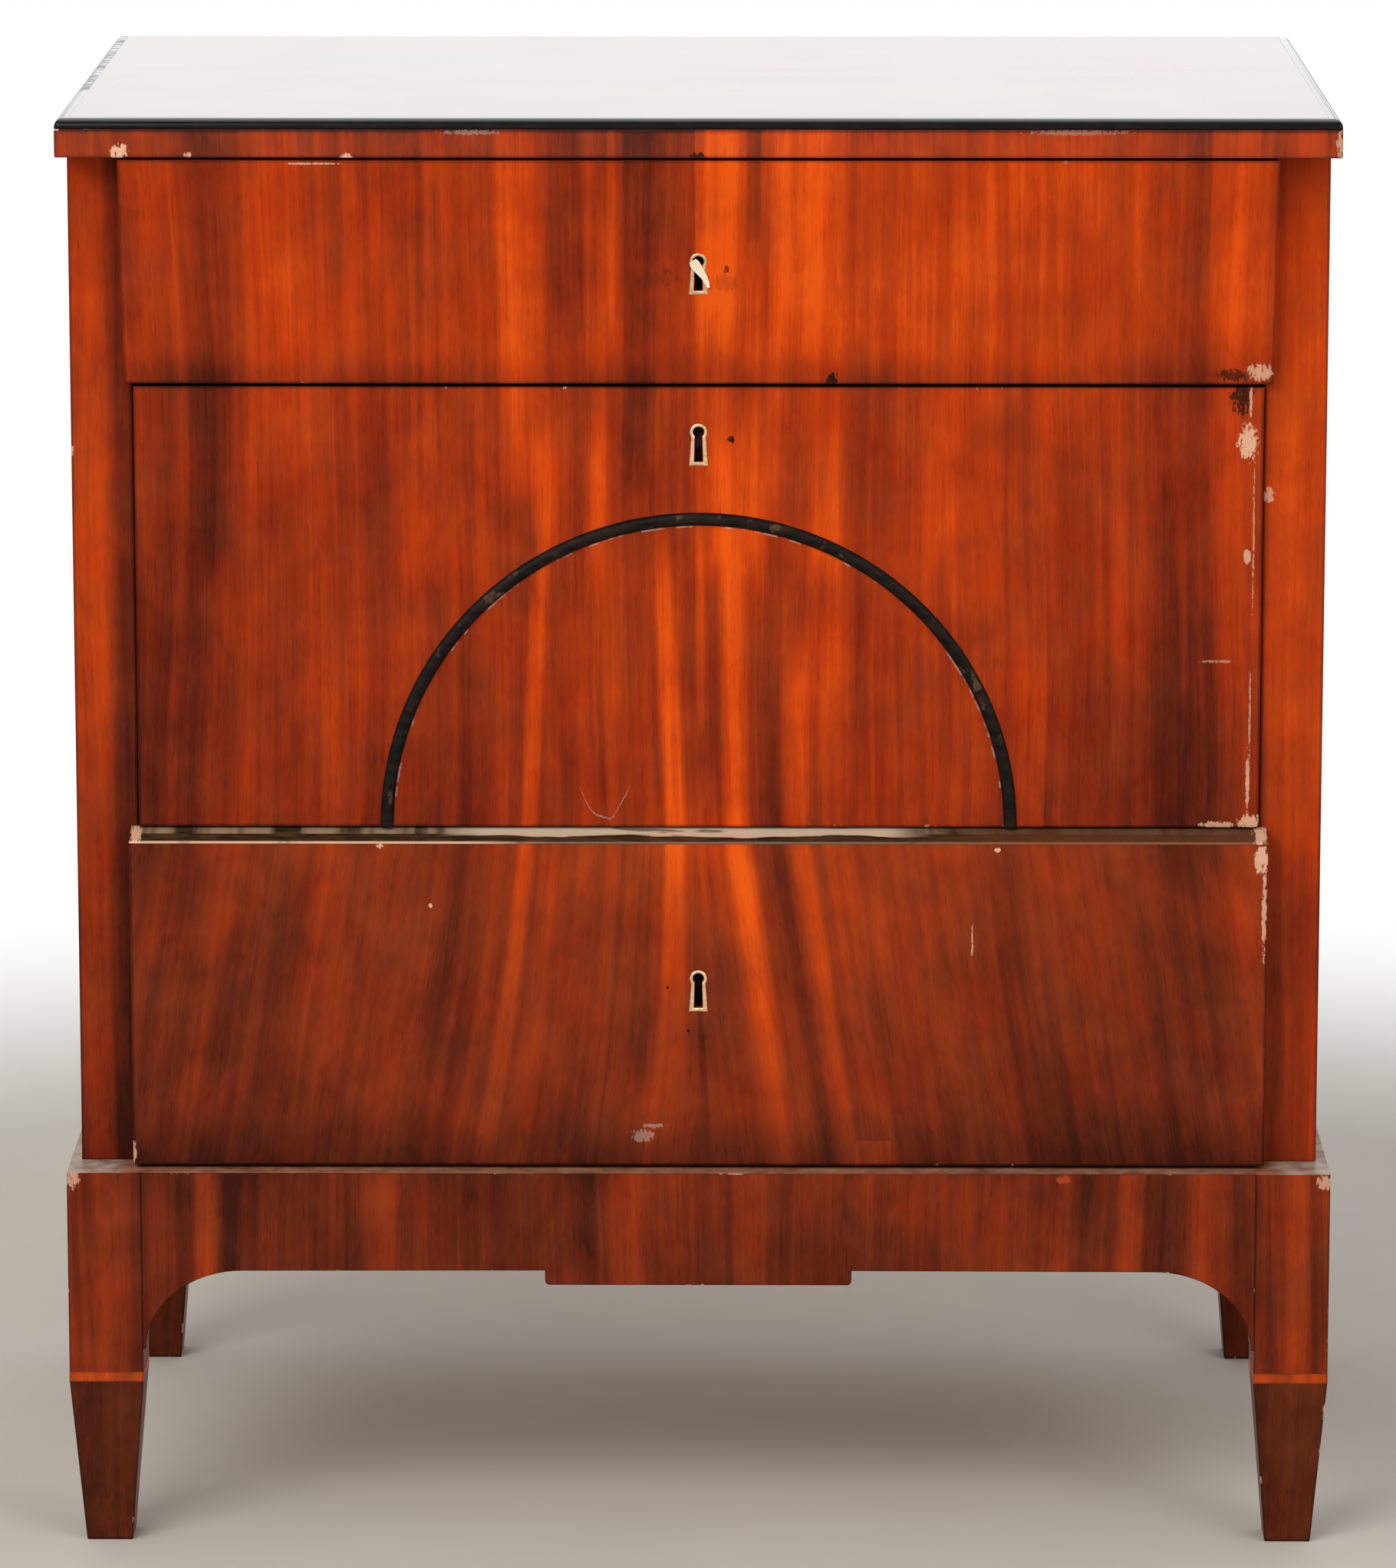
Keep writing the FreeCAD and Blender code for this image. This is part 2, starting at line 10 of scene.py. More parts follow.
import bmesh
import bpy
import numpy as np
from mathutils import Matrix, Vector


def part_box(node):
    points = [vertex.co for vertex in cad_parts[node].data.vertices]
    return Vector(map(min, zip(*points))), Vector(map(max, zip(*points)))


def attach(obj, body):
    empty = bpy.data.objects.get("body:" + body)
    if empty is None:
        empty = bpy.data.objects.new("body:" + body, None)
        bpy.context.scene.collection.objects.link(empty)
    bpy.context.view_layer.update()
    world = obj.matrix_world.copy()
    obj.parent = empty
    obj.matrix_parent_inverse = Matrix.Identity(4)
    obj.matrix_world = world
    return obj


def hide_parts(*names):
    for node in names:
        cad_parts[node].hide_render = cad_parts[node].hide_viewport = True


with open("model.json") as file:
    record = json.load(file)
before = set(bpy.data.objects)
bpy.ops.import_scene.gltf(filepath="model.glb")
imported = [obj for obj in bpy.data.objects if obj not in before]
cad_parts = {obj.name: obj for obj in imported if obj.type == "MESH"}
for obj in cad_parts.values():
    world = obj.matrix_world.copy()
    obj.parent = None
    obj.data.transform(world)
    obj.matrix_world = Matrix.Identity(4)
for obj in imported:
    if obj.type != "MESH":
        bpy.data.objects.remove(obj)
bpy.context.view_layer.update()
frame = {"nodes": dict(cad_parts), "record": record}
mm = 0.001
LEFT, RIGHT = -1, 1

# %% [markdown]
# ## How every piece is made
# A cabinet maker breaks each sharp edge with a plane, and years of dusters round it further.
# That narrow round catches the light, so each visible board needs one.
# A bevel modifier could do it, but a board is easy to write down: a stack of outlines, each drawn in
# a little near the two faces. The rounds are also where the polish wears through, so each point
# carries a number, worn, that is 1 on a round and 0 on a flat. Where a board has a curved outline, its
# lips come from moving each point of the outline in along its normal.

# %% Outlines and lips
ARC_STEPS = 4
WEAR_BAND = 1.2 * mm
QUARTER = np.pi / 2


def rectangle_ring(low, high, radii, inset):
    """A rectangle's outline, drawn in by inset. Corner k has a radius r of its own: its arc is
    centre + max(r - inset, 0) (cos a, sin a) over a quarter turn of a, and its centre lies
    max(r, inset) in from both sides. A plain point stands a wear band before and after each arc."""
    low, high = np.asarray(low, float), np.asarray(high, float)
    radii = np.broadcast_to(np.asarray(radii, float), 4)
    signs = np.array([[1, 1], [-1, 1], [-1, -1], [1, -1]])
    reach = np.maximum(radii, inset)
    centre = (low + high) / 2 + signs * ((high - low) / 2 - reach[:, None])
    turn = np.arange(4)[:, None] * QUARTER + np.linspace(0, QUARTER, ARC_STEPS)
    outward = np.stack([np.cos(turn), np.sin(turn)], -1)
    onward = np.stack([-np.sin(turn), np.cos(turn)], -1)
    arc = centre[:, None] + np.maximum(radii - inset, 0)[:, None, None] * outward
    gap = (np.maximum(radii + WEAR_BAND, inset) - reach)[:, None, None]
    before = arc[:, :1] - gap * onward[:, :1]
    after = arc[:, -1:] + gap * onward[:, -1:]
    return np.concatenate([before, arc, after], 1).reshape(-1, 2)


RING_WORN = np.tile([0.0] + [1.0] * ARC_STEPS + [0.0], 4)


def lip_profile(thickness, lips, band=WEAR_BAND):
    """Insets, heights and wear from a board's lower face to its upper one: a flat rim, a quarter
    round with inset r - r sin a and height r - r cos a, the side, and the same again upside down."""
    turn = np.linspace(0, QUARTER, ARC_STEPS)
    halves = []
    for radius in lips:
        inset = np.concatenate([[radius + band], radius - radius * np.sin(turn), [0]])
        height = np.concatenate([[0], radius - radius * np.cos(turn), [radius + band]])
        worn = np.concatenate([[0], np.full(ARC_STEPS, float(radius > 0)), [0]])
        halves.append((inset, height, worn))
    (low_inset, low_height, low_worn), (high_inset, high_height, high_worn) = halves
    insets = np.concatenate([low_inset, high_inset[::-1]])
    heights = np.concatenate([low_height, thickness - high_height[::-1]])
    return insets, heights, np.concatenate([low_worn, high_worn[::-1]])


print("a rounded rectangle has", len(RING_WORN), "points")


# %% Stacks and square boards
def stack(rings, joined=False):
    """Faces between rings of equal length: a quad from each pair of neighbours to the next ring,
    and a flat cap at both ends, or the last ring joined to the first."""
    rings = np.asarray(rings, float)
    count, size = rings.shape[:2]
    index = np.arange(count * size).reshape(count, size)
    lower = index if joined else index[:-1]
    upper = np.roll(index, -1, 0) if joined else index[1:]
    quads = np.stack([lower, np.roll(lower, -1, 1), np.roll(upper, -1, 1), upper], -1).reshape(-1, 4)
    faces = quads.tolist()
    if not joined:
        faces += [index[0, ::-1].tolist(), index[-1].tolist()]
    return rings.reshape(-1, 3), faces


def raised(flat, axis, level):
    """A flat outline, set square to an axis at that level."""
    ring = np.full((len(flat), 3), level)
    ring[:, [other for other in range(3) if other != axis]] = flat
    return ring


def board(low, high, corners, lips, axis=2):
    """A box as a stack of rectangle rings along one axis, with rounded corners and lips."""
    low, high = np.asarray(low, float), np.asarray(high, float)
    flat_low, flat_high = np.delete(low, axis), np.delete(high, axis)
    insets, heights, worn = lip_profile(high[axis] - low[axis], lips)
    flats = [rectangle_ring(flat_low, flat_high, corners, inset) for inset in insets]
    points, faces = stack([raised(flat, axis, low[axis] + height) for flat, height in zip(flats, heights)])
    on_side = (insets <= 0)[:, None]
    return points, faces, np.maximum(worn[:, None], on_side * RING_WORN).ravel()


print("a square board has", len(board((0, 0, 0), (1, 1, 1), 0, (0, 0))[0]), "points before they are merged")

# %% Boards with a curved outline
LIP, LIP_BAND, SHARPEST = 0.25 * mm, 0.6 * mm, 0.2


def drawn_in(outline, inset):
    """Each point moved in by inset along the mitre of its two neighbours' normals."""
    edge = np.roll(outline, -1, 0) - outline
    normal = np.stack([edge[:, 1], -edge[:, 0]], -1) / np.linalg.norm(edge, axis=1)[:, None]
    before = np.roll(normal, 1, 0)
    mitre = (normal + before) / np.maximum(1 + (normal * before).sum(1), SHARPEST)[:, None]
    return outline - inset * mitre


def outlined_board(outline, low, high, axis, lips):
    """A board of that outline, counterclockwise, between two planes square to an axis."""
    insets, heights, worn = lip_profile(high - low, lips, LIP_BAND)
    points, faces = stack([raised(drawn_in(outline, inset), axis, low + height)
                           for inset, height in zip(insets, heights)])
    return points, faces, np.repeat(worn, len(outline))


print("their lips have a radius of", LIP, "metres")

# %% [markdown]
# ## Putting a piece on the chest
# Each finished mesh keeps its place in its own points, takes one finish, rides on the case or on a
# drawer, and may stand for plain solids of the frame. Where a round has no radius its points
# coincide, so they are merged, and then the normals are worked out afresh to face outwards.

# %% Put a mesh in the scene
MERGE = 0.001 * mm
SHARP = np.radians(38)


def put(name, shells, body, finish, stands_for=()):
    """One object from closed shells of points, faces and wear."""
    points, faces, worn, start = [], [], [], 0
    for shell_points, shell_faces, shell_worn in shells:
        points.append(shell_points)
        worn.append(shell_worn)
        faces += [[start + corner for corner in face] for face in shell_faces]
        start += len(shell_points)
    mesh = bpy.data.meshes.new(name)
    mesh.from_pydata(np.concatenate(points).tolist(), [], faces)
    worn_layer = mesh.attributes.new("worn", "FLOAT", "POINT")
    worn_layer.data.foreach_set("value", np.concatenate(worn).astype(np.float32))
    work = bmesh.new()
    work.from_mesh(mesh)
    bmesh.ops.remove_doubles(work, verts=work.verts, dist=MERGE)
    bmesh.ops.recalc_face_normals(work, faces=work.faces)
    open_edges = sum(not edge.is_manifold for edge in work.edges)
    volume = work.calc_volume(signed=True)
    work.to_mesh(mesh)
    work.free()
    mesh.polygons.foreach_set("use_smooth", np.ones(len(mesh.polygons), bool))
    mesh.set_sharp_from_angle(angle=SHARP)
    mesh.materials.append(finish)
    piece = bpy.data.objects.new(name, mesh)
    bpy.context.scene.collection.objects.link(piece)
    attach(piece, body)
    if stands_for:
        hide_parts(*stands_for)
    print(name, len(mesh.polygons), "faces,", open_edges, "open edges,", round(volume * 1e6, 1), "cm3")
    return piece


print("edges over", round(np.degrees(SHARP)), "degrees stay sharp")

# %% [markdown]
# ## Sums on sockets
# A finish is mostly arithmetic: where on the board a point lies, how dark the grain is there, how
# much polish is left. Node by node that is hard to read. A small class wraps a socket, so that
# `0.5 + 0.2 * grain` adds the Math nodes by itself, and one method adds any other node.

# %% A socket that can be added and multiplied
class Wire:
    """A value or colour on its way through one finish."""

    def __init__(self, finish, socket):
        self.finish, self.socket = finish, socket

    def math(self, operation, *others):
        """This value, and any others after it, through one Math node."""
        return self.finish.math(operation, self, *others)

    def __add__(self, other):
        return self.math("ADD", other)

    def __sub__(self, other):
        return self.math("SUBTRACT", other)

    def __rsub__(self, other):
        return self.finish.math("SUBTRACT", other, self)

    def __mul__(self, other):
        return self.math("MULTIPLY", other)

    def __truediv__(self, other):
        return self.math("DIVIDE", other)

    def __abs__(self):
        return self.math("ABSOLUTE")

    def __gt__(self, other):
        return self.math("GREATER_THAN", other)

    def __lt__(self, other):
        return self.math("LESS_THAN", other)

    __radd__ = __add__
    __rmul__ = __mul__

    def hump(self, centre, width):
        """e to the power of minus d to the fourth, with d = (value - centre) / width: about 1 within
        half a width of the centre, and nothing beyond two."""
        offset = (self - centre) / width
        square = offset * offset
        return (square * square * -1).math("EXPONENT")

    def ease(self, low, high):
        """0 at low and 1 at high, with a smooth start and end."""
        sockets = {"Value": self, "From Min": low, "From Max": high}
        return self.finish.add("ShaderNodeMapRange", {"interpolation_type": "SMOOTHSTEP"}, sockets)


print("a wire can be added, taken away, multiplied, divided and compared")


# %% A finish and its nodes
class Finish:
    """One material: its shader, and the nodes that feed it."""

    def __init__(self, name, **constants):
        self.material = bpy.data.materials.new(name)
        self.material.use_nodes = True
        self.tree = self.material.node_tree
        self.shader = self.tree.nodes["Principled BSDF"]
        for socket, value in constants.items():
            self.shader.inputs[socket.replace("_", " ")].default_value = value

    def add(self, kind, settings=None, sockets=None, out=0):
        """Add a node: its settings first, then a value or a wire for each of its sockets."""
        node = self.tree.nodes.new(kind)
        for setting, value in (settings or {}).items():
            if setting == "stops":
                stops = node.color_ramp.elements
                while len(stops) < len(value):
                    stops.new(1)
                for stop, (position, colour) in zip(stops, value):
                    stop.position, stop.color = position, colour
            else:
                setattr(node, setting, value)
        for socket, value in (sockets or {}).items():
            if isinstance(value, Wire):
                self.tree.links.new(value.socket, node.inputs[socket])
            else:
                node.inputs[socket].default_value = value
        return Wire(self, node.outputs[out])

    def math(self, operation, *terms):
        """One Math node on numbers or wires."""
        return self.add("ShaderNodeMath", {"operation": operation}, dict(enumerate(terms)))

    def feed(self, socket, wire):
        """Lead a wire into the shader."""
        self.tree.links.new(wire.socket, self.shader.inputs[socket])

    def parts(self, vector):
        """The x, y and z of a vector."""
        split = self.add("ShaderNodeSeparateXYZ", sockets={0: vector}).socket.node
        return [Wire(self, out) for out in split.outputs]

    def vector(self, x, y, z):
        """A vector from three numbers or wires."""
        return self.add("ShaderNodeCombineXYZ", sockets={0: x, 1: y, 2: z})

    def place(self):
        """Where a point lies on the chest at rest, in metres."""
        return self.parts(self.add("ShaderNodeTexCoord", out="Object"))

    def facing(self):
        """Which way the surface faces."""
        return self.parts(self.add("ShaderNodeNewGeometry", out="Normal"))

    def worn(self):
        """1 on a board's rounds and 0 on its flats."""
        return self.add("ShaderNodeAttribute", {"attribute_name": "worn"}, out="Fac")

    def noise(self, place, waves, detail=2.0, roughness=0.5):
        """Noise about one half, with so many waves to the metre along each part of the place. A plain
        number in the place is no length: it picks a slice of the noise."""
        waves = np.broadcast_to(waves, 3).tolist()
        spot = [part * count if isinstance(part, Wire) else part for part, count in zip(place, waves)]
        sockets = {"Vector": self.vector(*spot), "Scale": 1.0, "Detail": detail, "Roughness": roughness}
        return self.add("ShaderNodeTexNoise", sockets=sockets)

    def blend(self, share, first, second):
        """The first colour where the share is 0, and the second where it is 1."""
        return self.add("ShaderNodeMix", {"data_type": "RGBA"}, {0: share, 6: first, 7: second}, out=2)

    def ramp(self, tone, colours, places=(0.0, 0.25, 0.5, 0.75, 1.0)):
        """The colour of a tone, between colours that stand at those places."""
        return self.add("ShaderNodeValToRGB", {"stops": list(zip(places, colours))}, {0: tone})

    def bump(self, height, strength, distance):
        """Tilt the light on the surface as a relief of that height would."""
        sockets = {"Strength": strength, "Distance": distance, "Height": height}
        self.feed("Normal", self.add("ShaderNodeBump", sockets=sockets))


def seen(red, green, blue):
    """The light that a screen colour of 0 to 255 stands for, as a shader takes it."""
    share = np.array([red, green, blue]) / 255
    light = np.where(share <= 0.04045, share / 12.92, ((share + 0.055) / 1.055) ** 2.4)
    return (*light.tolist(), 1.0)


print("mid mahogany is", [round(part, 3) for part in seen(165, 52, 18)])

# %% [markdown]
# ## Camera
# The photograph was taken from five and a half metres in front and a metre and a half up, with a long
# lens that looks a little down. The edges of the chest in it fix that place, so the camera is set once.

# %% Camera
EYE = (34.5 * mm, -5506.2 * mm, 1569.4 * mm)
LOOK_DOWN, TURN_LEFT = 0.1955, 0.0066
LENS, FILM_WIDTH, FAR = 183.24, 36, 200
camera = bpy.data.objects.new("camera", bpy.data.cameras.new("camera"))
camera.data.lens = LENS
camera.data.sensor_width = FILM_WIDTH
camera.data.clip_end = FAR
camera.location = EYE
camera.rotation_euler = (QUARTER - LOOK_DOWN, 0, TURN_LEFT)
bpy.context.scene.collection.objects.link(camera)
bpy.context.scene.camera = camera
bpy.context.scene.view_settings.view_transform = "Standard"
print("camera at", [round(c, 3) for c in camera.location])

# %% [markdown]
# ## Floor and light
# The chest stands on a plain pale floor. A wall behind it would block the glare that makes the
# polished top look almost white, so there is none: the floor fades to white a few metres out, and
# the sky above it is white for the camera.
# Two large soft lamps in front light the veneer evenly, and a low one behind gives the top its glare.

# %% Floor
FLOOR_REACHES = np.array([0.02, 0.5, 2.0, 8.0, 60.0])
FADE = (1.0, 1.9)
CLOUD_WAVES = 3.0
WHITE = seen(255, 255, 255)
rounds = np.linspace(0, 4 * QUARTER, 96, endpoint=False)
floor_points = np.stack([np.outer(FLOOR_REACHES, np.cos(rounds)), np.outer(FLOOR_REACHES, np.sin(rounds)),
                         np.zeros((len(FLOOR_REACHES), len(rounds)))], -1)
points, faces = stack(floor_points)
faces.pop()
floor_mesh = bpy.data.meshes.new("floor")
floor_mesh.from_pydata(points.tolist(), [], faces)
floor = bpy.data.objects.new("floor", floor_mesh)
bpy.context.scene.collection.objects.link(floor)

pale = Finish("pale_floor", Roughness=0.7, Specular_IOR_Level=0.2)
x, y, z = pale.place()
far = (x * x + y * y).math("SQRT").ease(*FADE)
cloud = pale.noise((x, y, z), CLOUD_WAVES, detail=4.0)
pale.feed("Base Color", pale.blend(cloud, seen(200, 194, 184), seen(223, 217, 207)))
glow = pale.add("ShaderNodeEmission", sockets={"Color": WHITE})
by_camera = pale.add("ShaderNodeLightPath", out="Is Camera Ray")
ground = Wire(pale, pale.shader.outputs[0])
surface = pale.add("ShaderNodeMixShader", sockets={0: far * by_camera, 1: ground, 2: glow})
pale.tree.links.new(surface.socket, pale.tree.nodes["Material Output"].inputs["Surface"])
floor_mesh.materials.append(pale.material)
print("the floor turns white from", FADE[0], "to", FADE[1], "metres out")

# %% Light
SKY_LIGHT, SKY_SEEN = 0.56, 1.0
world = bpy.data.worlds.new("studio")
world.use_nodes = True
bpy.context.scene.world = world
sky = world.node_tree
path = sky.nodes.new("ShaderNodeLightPath")
add_up = sky.nodes.new("ShaderNodeMath")
add_up.operation = "MAXIMUM"
level = sky.nodes.new("ShaderNodeMapRange")
level.inputs["To Min"].default_value = SKY_LIGHT
level.inputs["To Max"].default_value = SKY_SEEN
sky.links.new(path.outputs["Is Camera Ray"], add_up.inputs[0])
sky.links.new(path.outputs["Is Glossy Ray"], add_up.inputs[1])
sky.links.new(add_up.outputs[0], level.inputs["Value"])
sky.links.new(level.outputs[0], sky.nodes["Background"].inputs["Strength"])
sky.nodes["Background"].inputs["Color"].default_value = WHITE


def lamp(name, place, target, size, watts):
    """A soft rectangular lamp that looks from its place at a target."""
    light = bpy.data.lights.new(name, "AREA")
    light.shape, light.size, light.size_y, light.energy = "RECTANGLE", size[0], size[1], watts
    holder = bpy.data.objects.new(name, light)
    holder.location = place
    aim = np.subtract(target, place)
    holder.rotation_euler = (np.arctan2(np.hypot(aim[0], aim[1]), -aim[2]), 0, np.arctan2(-aim[0], aim[1]))
    holder.visible_camera = False
    bpy.context.scene.collection.objects.link(holder)
    print(name, "lamp,", watts, "watts")


lamp("front_left", place=(-1.7, -3.0, 2.7), target=(0, -0.2, 0.6), size=(2.4, 1.6), watts=71)
lamp("front_right", place=(2.3, -2.8, 1.9), target=(0, -0.2, 0.5), size=(1.6, 1.6), watts=23)
lamp("behind", place=(0.0, 3.2, 1.62), target=(0, 0.0, 0.98), size=(3.4, 0.9), watts=1.9)

# %% [markdown]
# ## Mahogany veneer
# The front is one run of veneer: upright grain with bright and dark bands that run on from the edge
# of the top through all three drawers. A photograph wrapped round it would do on one side only.
# Here the tone is a sum: noise at several widths drawn out along the grain, a smoky figure across
# it, and a few named streaks for the bands one remembers. It turns into colour last, between a red
# and a brown set of tones. Below the middle the grain spreads from the centre, as it does where the
# tree forks.

# %% Mahogany tones
REDS = [seen(64, 20, 12), seen(107, 31, 13), seen(150, 44, 13), seen(193, 60, 12), seen(236, 84, 14)]
BROWNS = [seen(62, 29, 16), seen(104, 47, 25), seen(146, 62, 28), seen(190, 74, 22), seen(236, 98, 26)]
# Waves to the metre across and along the wood.
WANDER_WAVES, BROAD_WAVES, RIBBON_WAVES, NARROW_WAVES = (5, 2.2), (22, 2), (85, 2.4), (250, 5)
LINE_WAVES, SMOKE_WAVES, CURL_WAVES, VEIN_WAVES = (820, 16), (13, 9), (58, 36), (30, 8)
# How much of the tone each of them makes up.
BROAD, RIBBON, NARROW, LINE, SMOKE, CURL, VEIN, GRAIN_LOW = 0.3, 0.14, 0.07, 0.08, 0.56, 0.3, 0.03, 0.04
# Where a ribbon, a narrow band, a thin line and a vein begin and end in their noise.
RIBBON_EDGE, NARROW_EDGE, LINE_EDGE, VEIN_EDGE = (0.36, 0.64), (0.34, 0.66), (0.55, 0.72), (0.0, 0.014)
WANDER = 26 * mm
STEEP, FORWARD = 0.7, 0.2


def grain(finish, across, along, seed, fine):
    """Tone of the grain, about 0: broad bands, ribbons with clear edges, narrow ones and thin dark lines,
    all wandering along the wood's length, and across them the smoky figure, its curls and a few veins."""
    def layer(wood, number, waves, detail, roughness=0.5):
        return finish.noise((wood, seed + number, along), (waves[0], 1, waves[1]), detail, roughness)

    bent = across + (layer(across, 0, WANDER_WAVES, 1.5) - 0.5) * WANDER
    broad = layer(bent, 1, BROAD_WAVES, 1.0) - 0.5
    ribbon = layer(bent, 2, RIBBON_WAVES, 2.0).ease(*RIBBON_EDGE) - 0.5
    narrow = layer(bent, 3, NARROW_WAVES, 2.0).ease(*NARROW_EDGE) - 0.5
    line = layer(bent, 4, LINE_WAVES, 1.0).ease(*LINE_EDGE)
    smoke = layer(across, 5, SMOKE_WAVES, 4.0, roughness=0.55) - 0.5
    curl = layer(across, 6, CURL_WAVES, 3.0, roughness=0.6) - 0.5
    vein = abs(layer(bent, 7, VEIN_WAVES, 2.0) - 0.5).ease(*VEIN_EDGE)
    upright = broad * BROAD + ribbon * (RIBBON * fine) + narrow * (NARROW * fine) - line * (LINE * fine)
    return bent, upright + smoke * SMOKE + curl * CURL + vein * VEIN - GRAIN_LOW


def directions(finish):
    """The place, then across and along the grain, for boards whose veneer stands upright on every side and
    lies along the length on top; and whether the surface is a top, and whether it faces the front."""
    x, y, z = finish.place()
    nx, ny, nz = finish.facing()
    on_end, on_top = abs(nx) > STEEP, abs(nz) > STEEP
    sideways = on_end.math("MAXIMUM", on_top)
    across = x * (1 - sideways) + y * sideways
    along = z * (1 - on_top) + x * on_top
    return x, y, z, across, along, on_top, ny < -FORWARD


print(len(REDS), "tones from dark to bright, twice")

# %% [markdown]
# ## Bands, shades and damage
# What one remembers of this front isn't noise: a bright band beside the keyholes, a dark one left of
# them, the seam in the middle, darker ends and feet, and chips where the veneer has sprung off.
# Each is a mask over the place on the chest that is added to the tone, or that lets another colour in.

# %% Masks for the front
FORK, FORK_SOFT, FORK_RIGHT = 0.5, 40 * mm, 0.04
STREAK_END = 60
SPLINTERS, TORN, CHIP_SIZE, CHIP_RIM = (560, 1, 240), 3.6, 0.8, (0.1, 0.4)
HAIRLINE = 0.6 * mm
FILM_WAVES, FILM_HERE, FILM_SHARE = 90, (0.5, 0.62), 0.45
SCRATCH_FOOT, SCRATCH_SLOPE, SCRATCH_WAVES, SCRATCH_WAVER = 6 * mm, 1.9, 90, 14 * mm
SCRATCH_END = (14 * mm, 18 * mm)


def forked(x, z, spread):
    """How far the grain has moved outwards at a place below the fork: the drop times a share that
    grows from the middle, x / (|x| + soft), and is a little larger on the right."""
    fan = x / (abs(x) + FORK_SOFT)
    return (FORK - z).math("MAXIMUM", 0.0) * fan * ((x > 0) * FORK_RIGHT + spread)


def streaked(tone, bent, z, streaks, fade):
    """The tone and its streaks. A streak is (centre, half width, strength, low, high, lean) in
    millimetres, and its last numbers may be left out: low and high end it, and lean slants it by so
    much to the metre above the fork."""
    for streak in streaks:
        centre, half_width, strength, low, high, lean = (*streak, 0, 0, 0)[:6]
        slanted = bent + (z - FORK).math("MAXIMUM", 0.0) * lean if lean else bent
        band = slanted.hump(centre * mm, half_width * mm) * strength * fade
        if low:
            band = band * z.ease(low * mm, (low + STREAK_END) * mm)
        if high:
            band = band * (1 - z.ease((high - STREAK_END) * mm, high * mm))
        tone = tone + band
    return tone


def ragged(finish, x, z, centre_x, centre_z, reach_x, reach_z):
    """A chip with a torn rim: size - (dx / rx) squared - (dz / rz) squared, plus noise as fine as a
    splinter. The four measures are in millimetres."""
    dx, dz = (x - centre_x * mm) / (reach_x * mm), (z - centre_z * mm) / (reach_z * mm)
    torn = (finish.noise((x, 0.3, z), SPLINTERS, detail=4.0, roughness=0.7) - 0.5) * TORN
    return (CHIP_SIZE - (dx * dx + dz * dz) + torn).ease(*CHIP_RIM)


def let_in_piece(x, z, centre_x, centre_z, half_x, half_z):
    """A small rectangle of new veneer, let in with straight edges. Its measures are in millimetres."""
    return (abs(x - centre_x * mm) < half_x * mm) * (abs(z - centre_z * mm) < half_z * mm)


def film_in_arch(finish, x, y, z, foot, radius):
    """Dust along the inside of the arch: a hairline at that radius about the middle of its foot."""
    reach = (x * x + (z - foot) * (z - foot)).math("SQRT")
    here = finish.noise((x, y, z), FILM_WAVES, detail=3.0).ease(*FILM_HERE)
    return reach.hump(radius, HAIRLINE) * here * FILM_SHARE


def hair_scratch(finish, x, z, foot_x, foot_z):
    """A wavering V: its height over the foot is a slope times the way out past a flat foot."""
    away = abs(x - foot_x * mm)
    waver = (finish.noise((x, 0.7, 0.0), SCRATCH_WAVES, detail=3.0) - 0.5) * SCRATCH_WAVER
    rise = (away - SCRATCH_FOOT).math("MAXIMUM", 0.0) * SCRATCH_SLOPE + waver
    return (z - rise).hump(foot_z * mm, HAIRLINE) * (1 - away.ease(*SCRATCH_END))


print("six masks")

# %% The veneer's colour, gloss and pores
# The pale grey is dust, and on the top's upper edge also a painted sheen.
PALE_WOOD, DUST_AND_SHEEN, DARK_PATCH = seen(232, 184, 150), seen(204, 190, 172), seen(46, 22, 16)
# Brown dust for the stand, and a black that is painted shade for the gaps between the drawers.
BROWN_DUST, GAP_SHADE_BLACK = seen(186, 134, 104), seen(26, 14, 10)
# Places on the chest between which a shade comes in, in metres, and how much it changes the tone.
STREAKS_FADE = (0.15, 0.5)
SEAM, SEAM_Z, SEAM_STEP = -2 * mm, (0.5, 0.7), 0.12
OUTER_X, OUTER_Z, OUTER_DARK = (0.2, 0.31), (0.6, 0.85), 0.08
LOW_SHADE_Z, FOOT_DARK, HEAD_DARK, TOP_DARK = (0.2, 0.72), 0.16, 0.5, 0.35
# Beside the drawers the stiles are darker, partly dirt and partly painted shade from the proud fronts; the
# right gets less of it, and the whole right side is painted lighter, as painted light.
STILE_X, STILE_RIGHT, RIGHT_PAINTED_LIGHT = (0.388, 0.402), 0.7, 0.1
LEG_X, LET_IN_LIFT = (0.37, 0.40), 0.12
PORE_WAVES, PORE_EDGE, PORE_DARK, ROUND_DARK = (1500, 1, 75), (0.56, 0.72), 0.1, 0.22
BROWN_WAVES, BROWN_SWING = (30, 1, 20), 1.2
SCRATCH_DASHES, SCRATCH_SHARE = (0.3, 0.7), 0.55
PATCH_WAVES, BARE_SHARE = (60, 60, 34), 0.85
# Noise from which a round is bare, how much less of it is needed with wear, and when that is full.
BARE_FROM, BARE_TO, LESS_FROM, LESS_TO, FULL_WEAR = 0.7, 0.72, 0.16, 0.1, 1 / 3
DUST_BELOW, DUST_PATCHES, DUST_X = 0.3, (0.1, 0.8), (0.386, 0.4)
HAZE_WAVES, HAZE_DULL, BARE_DULL = 9, 0.12, 0.25
BUMP, BUMP_DEEP, PORE_DEEP, HAZE_DEEP = 0.18, 0.25 * mm, 0.5, 4


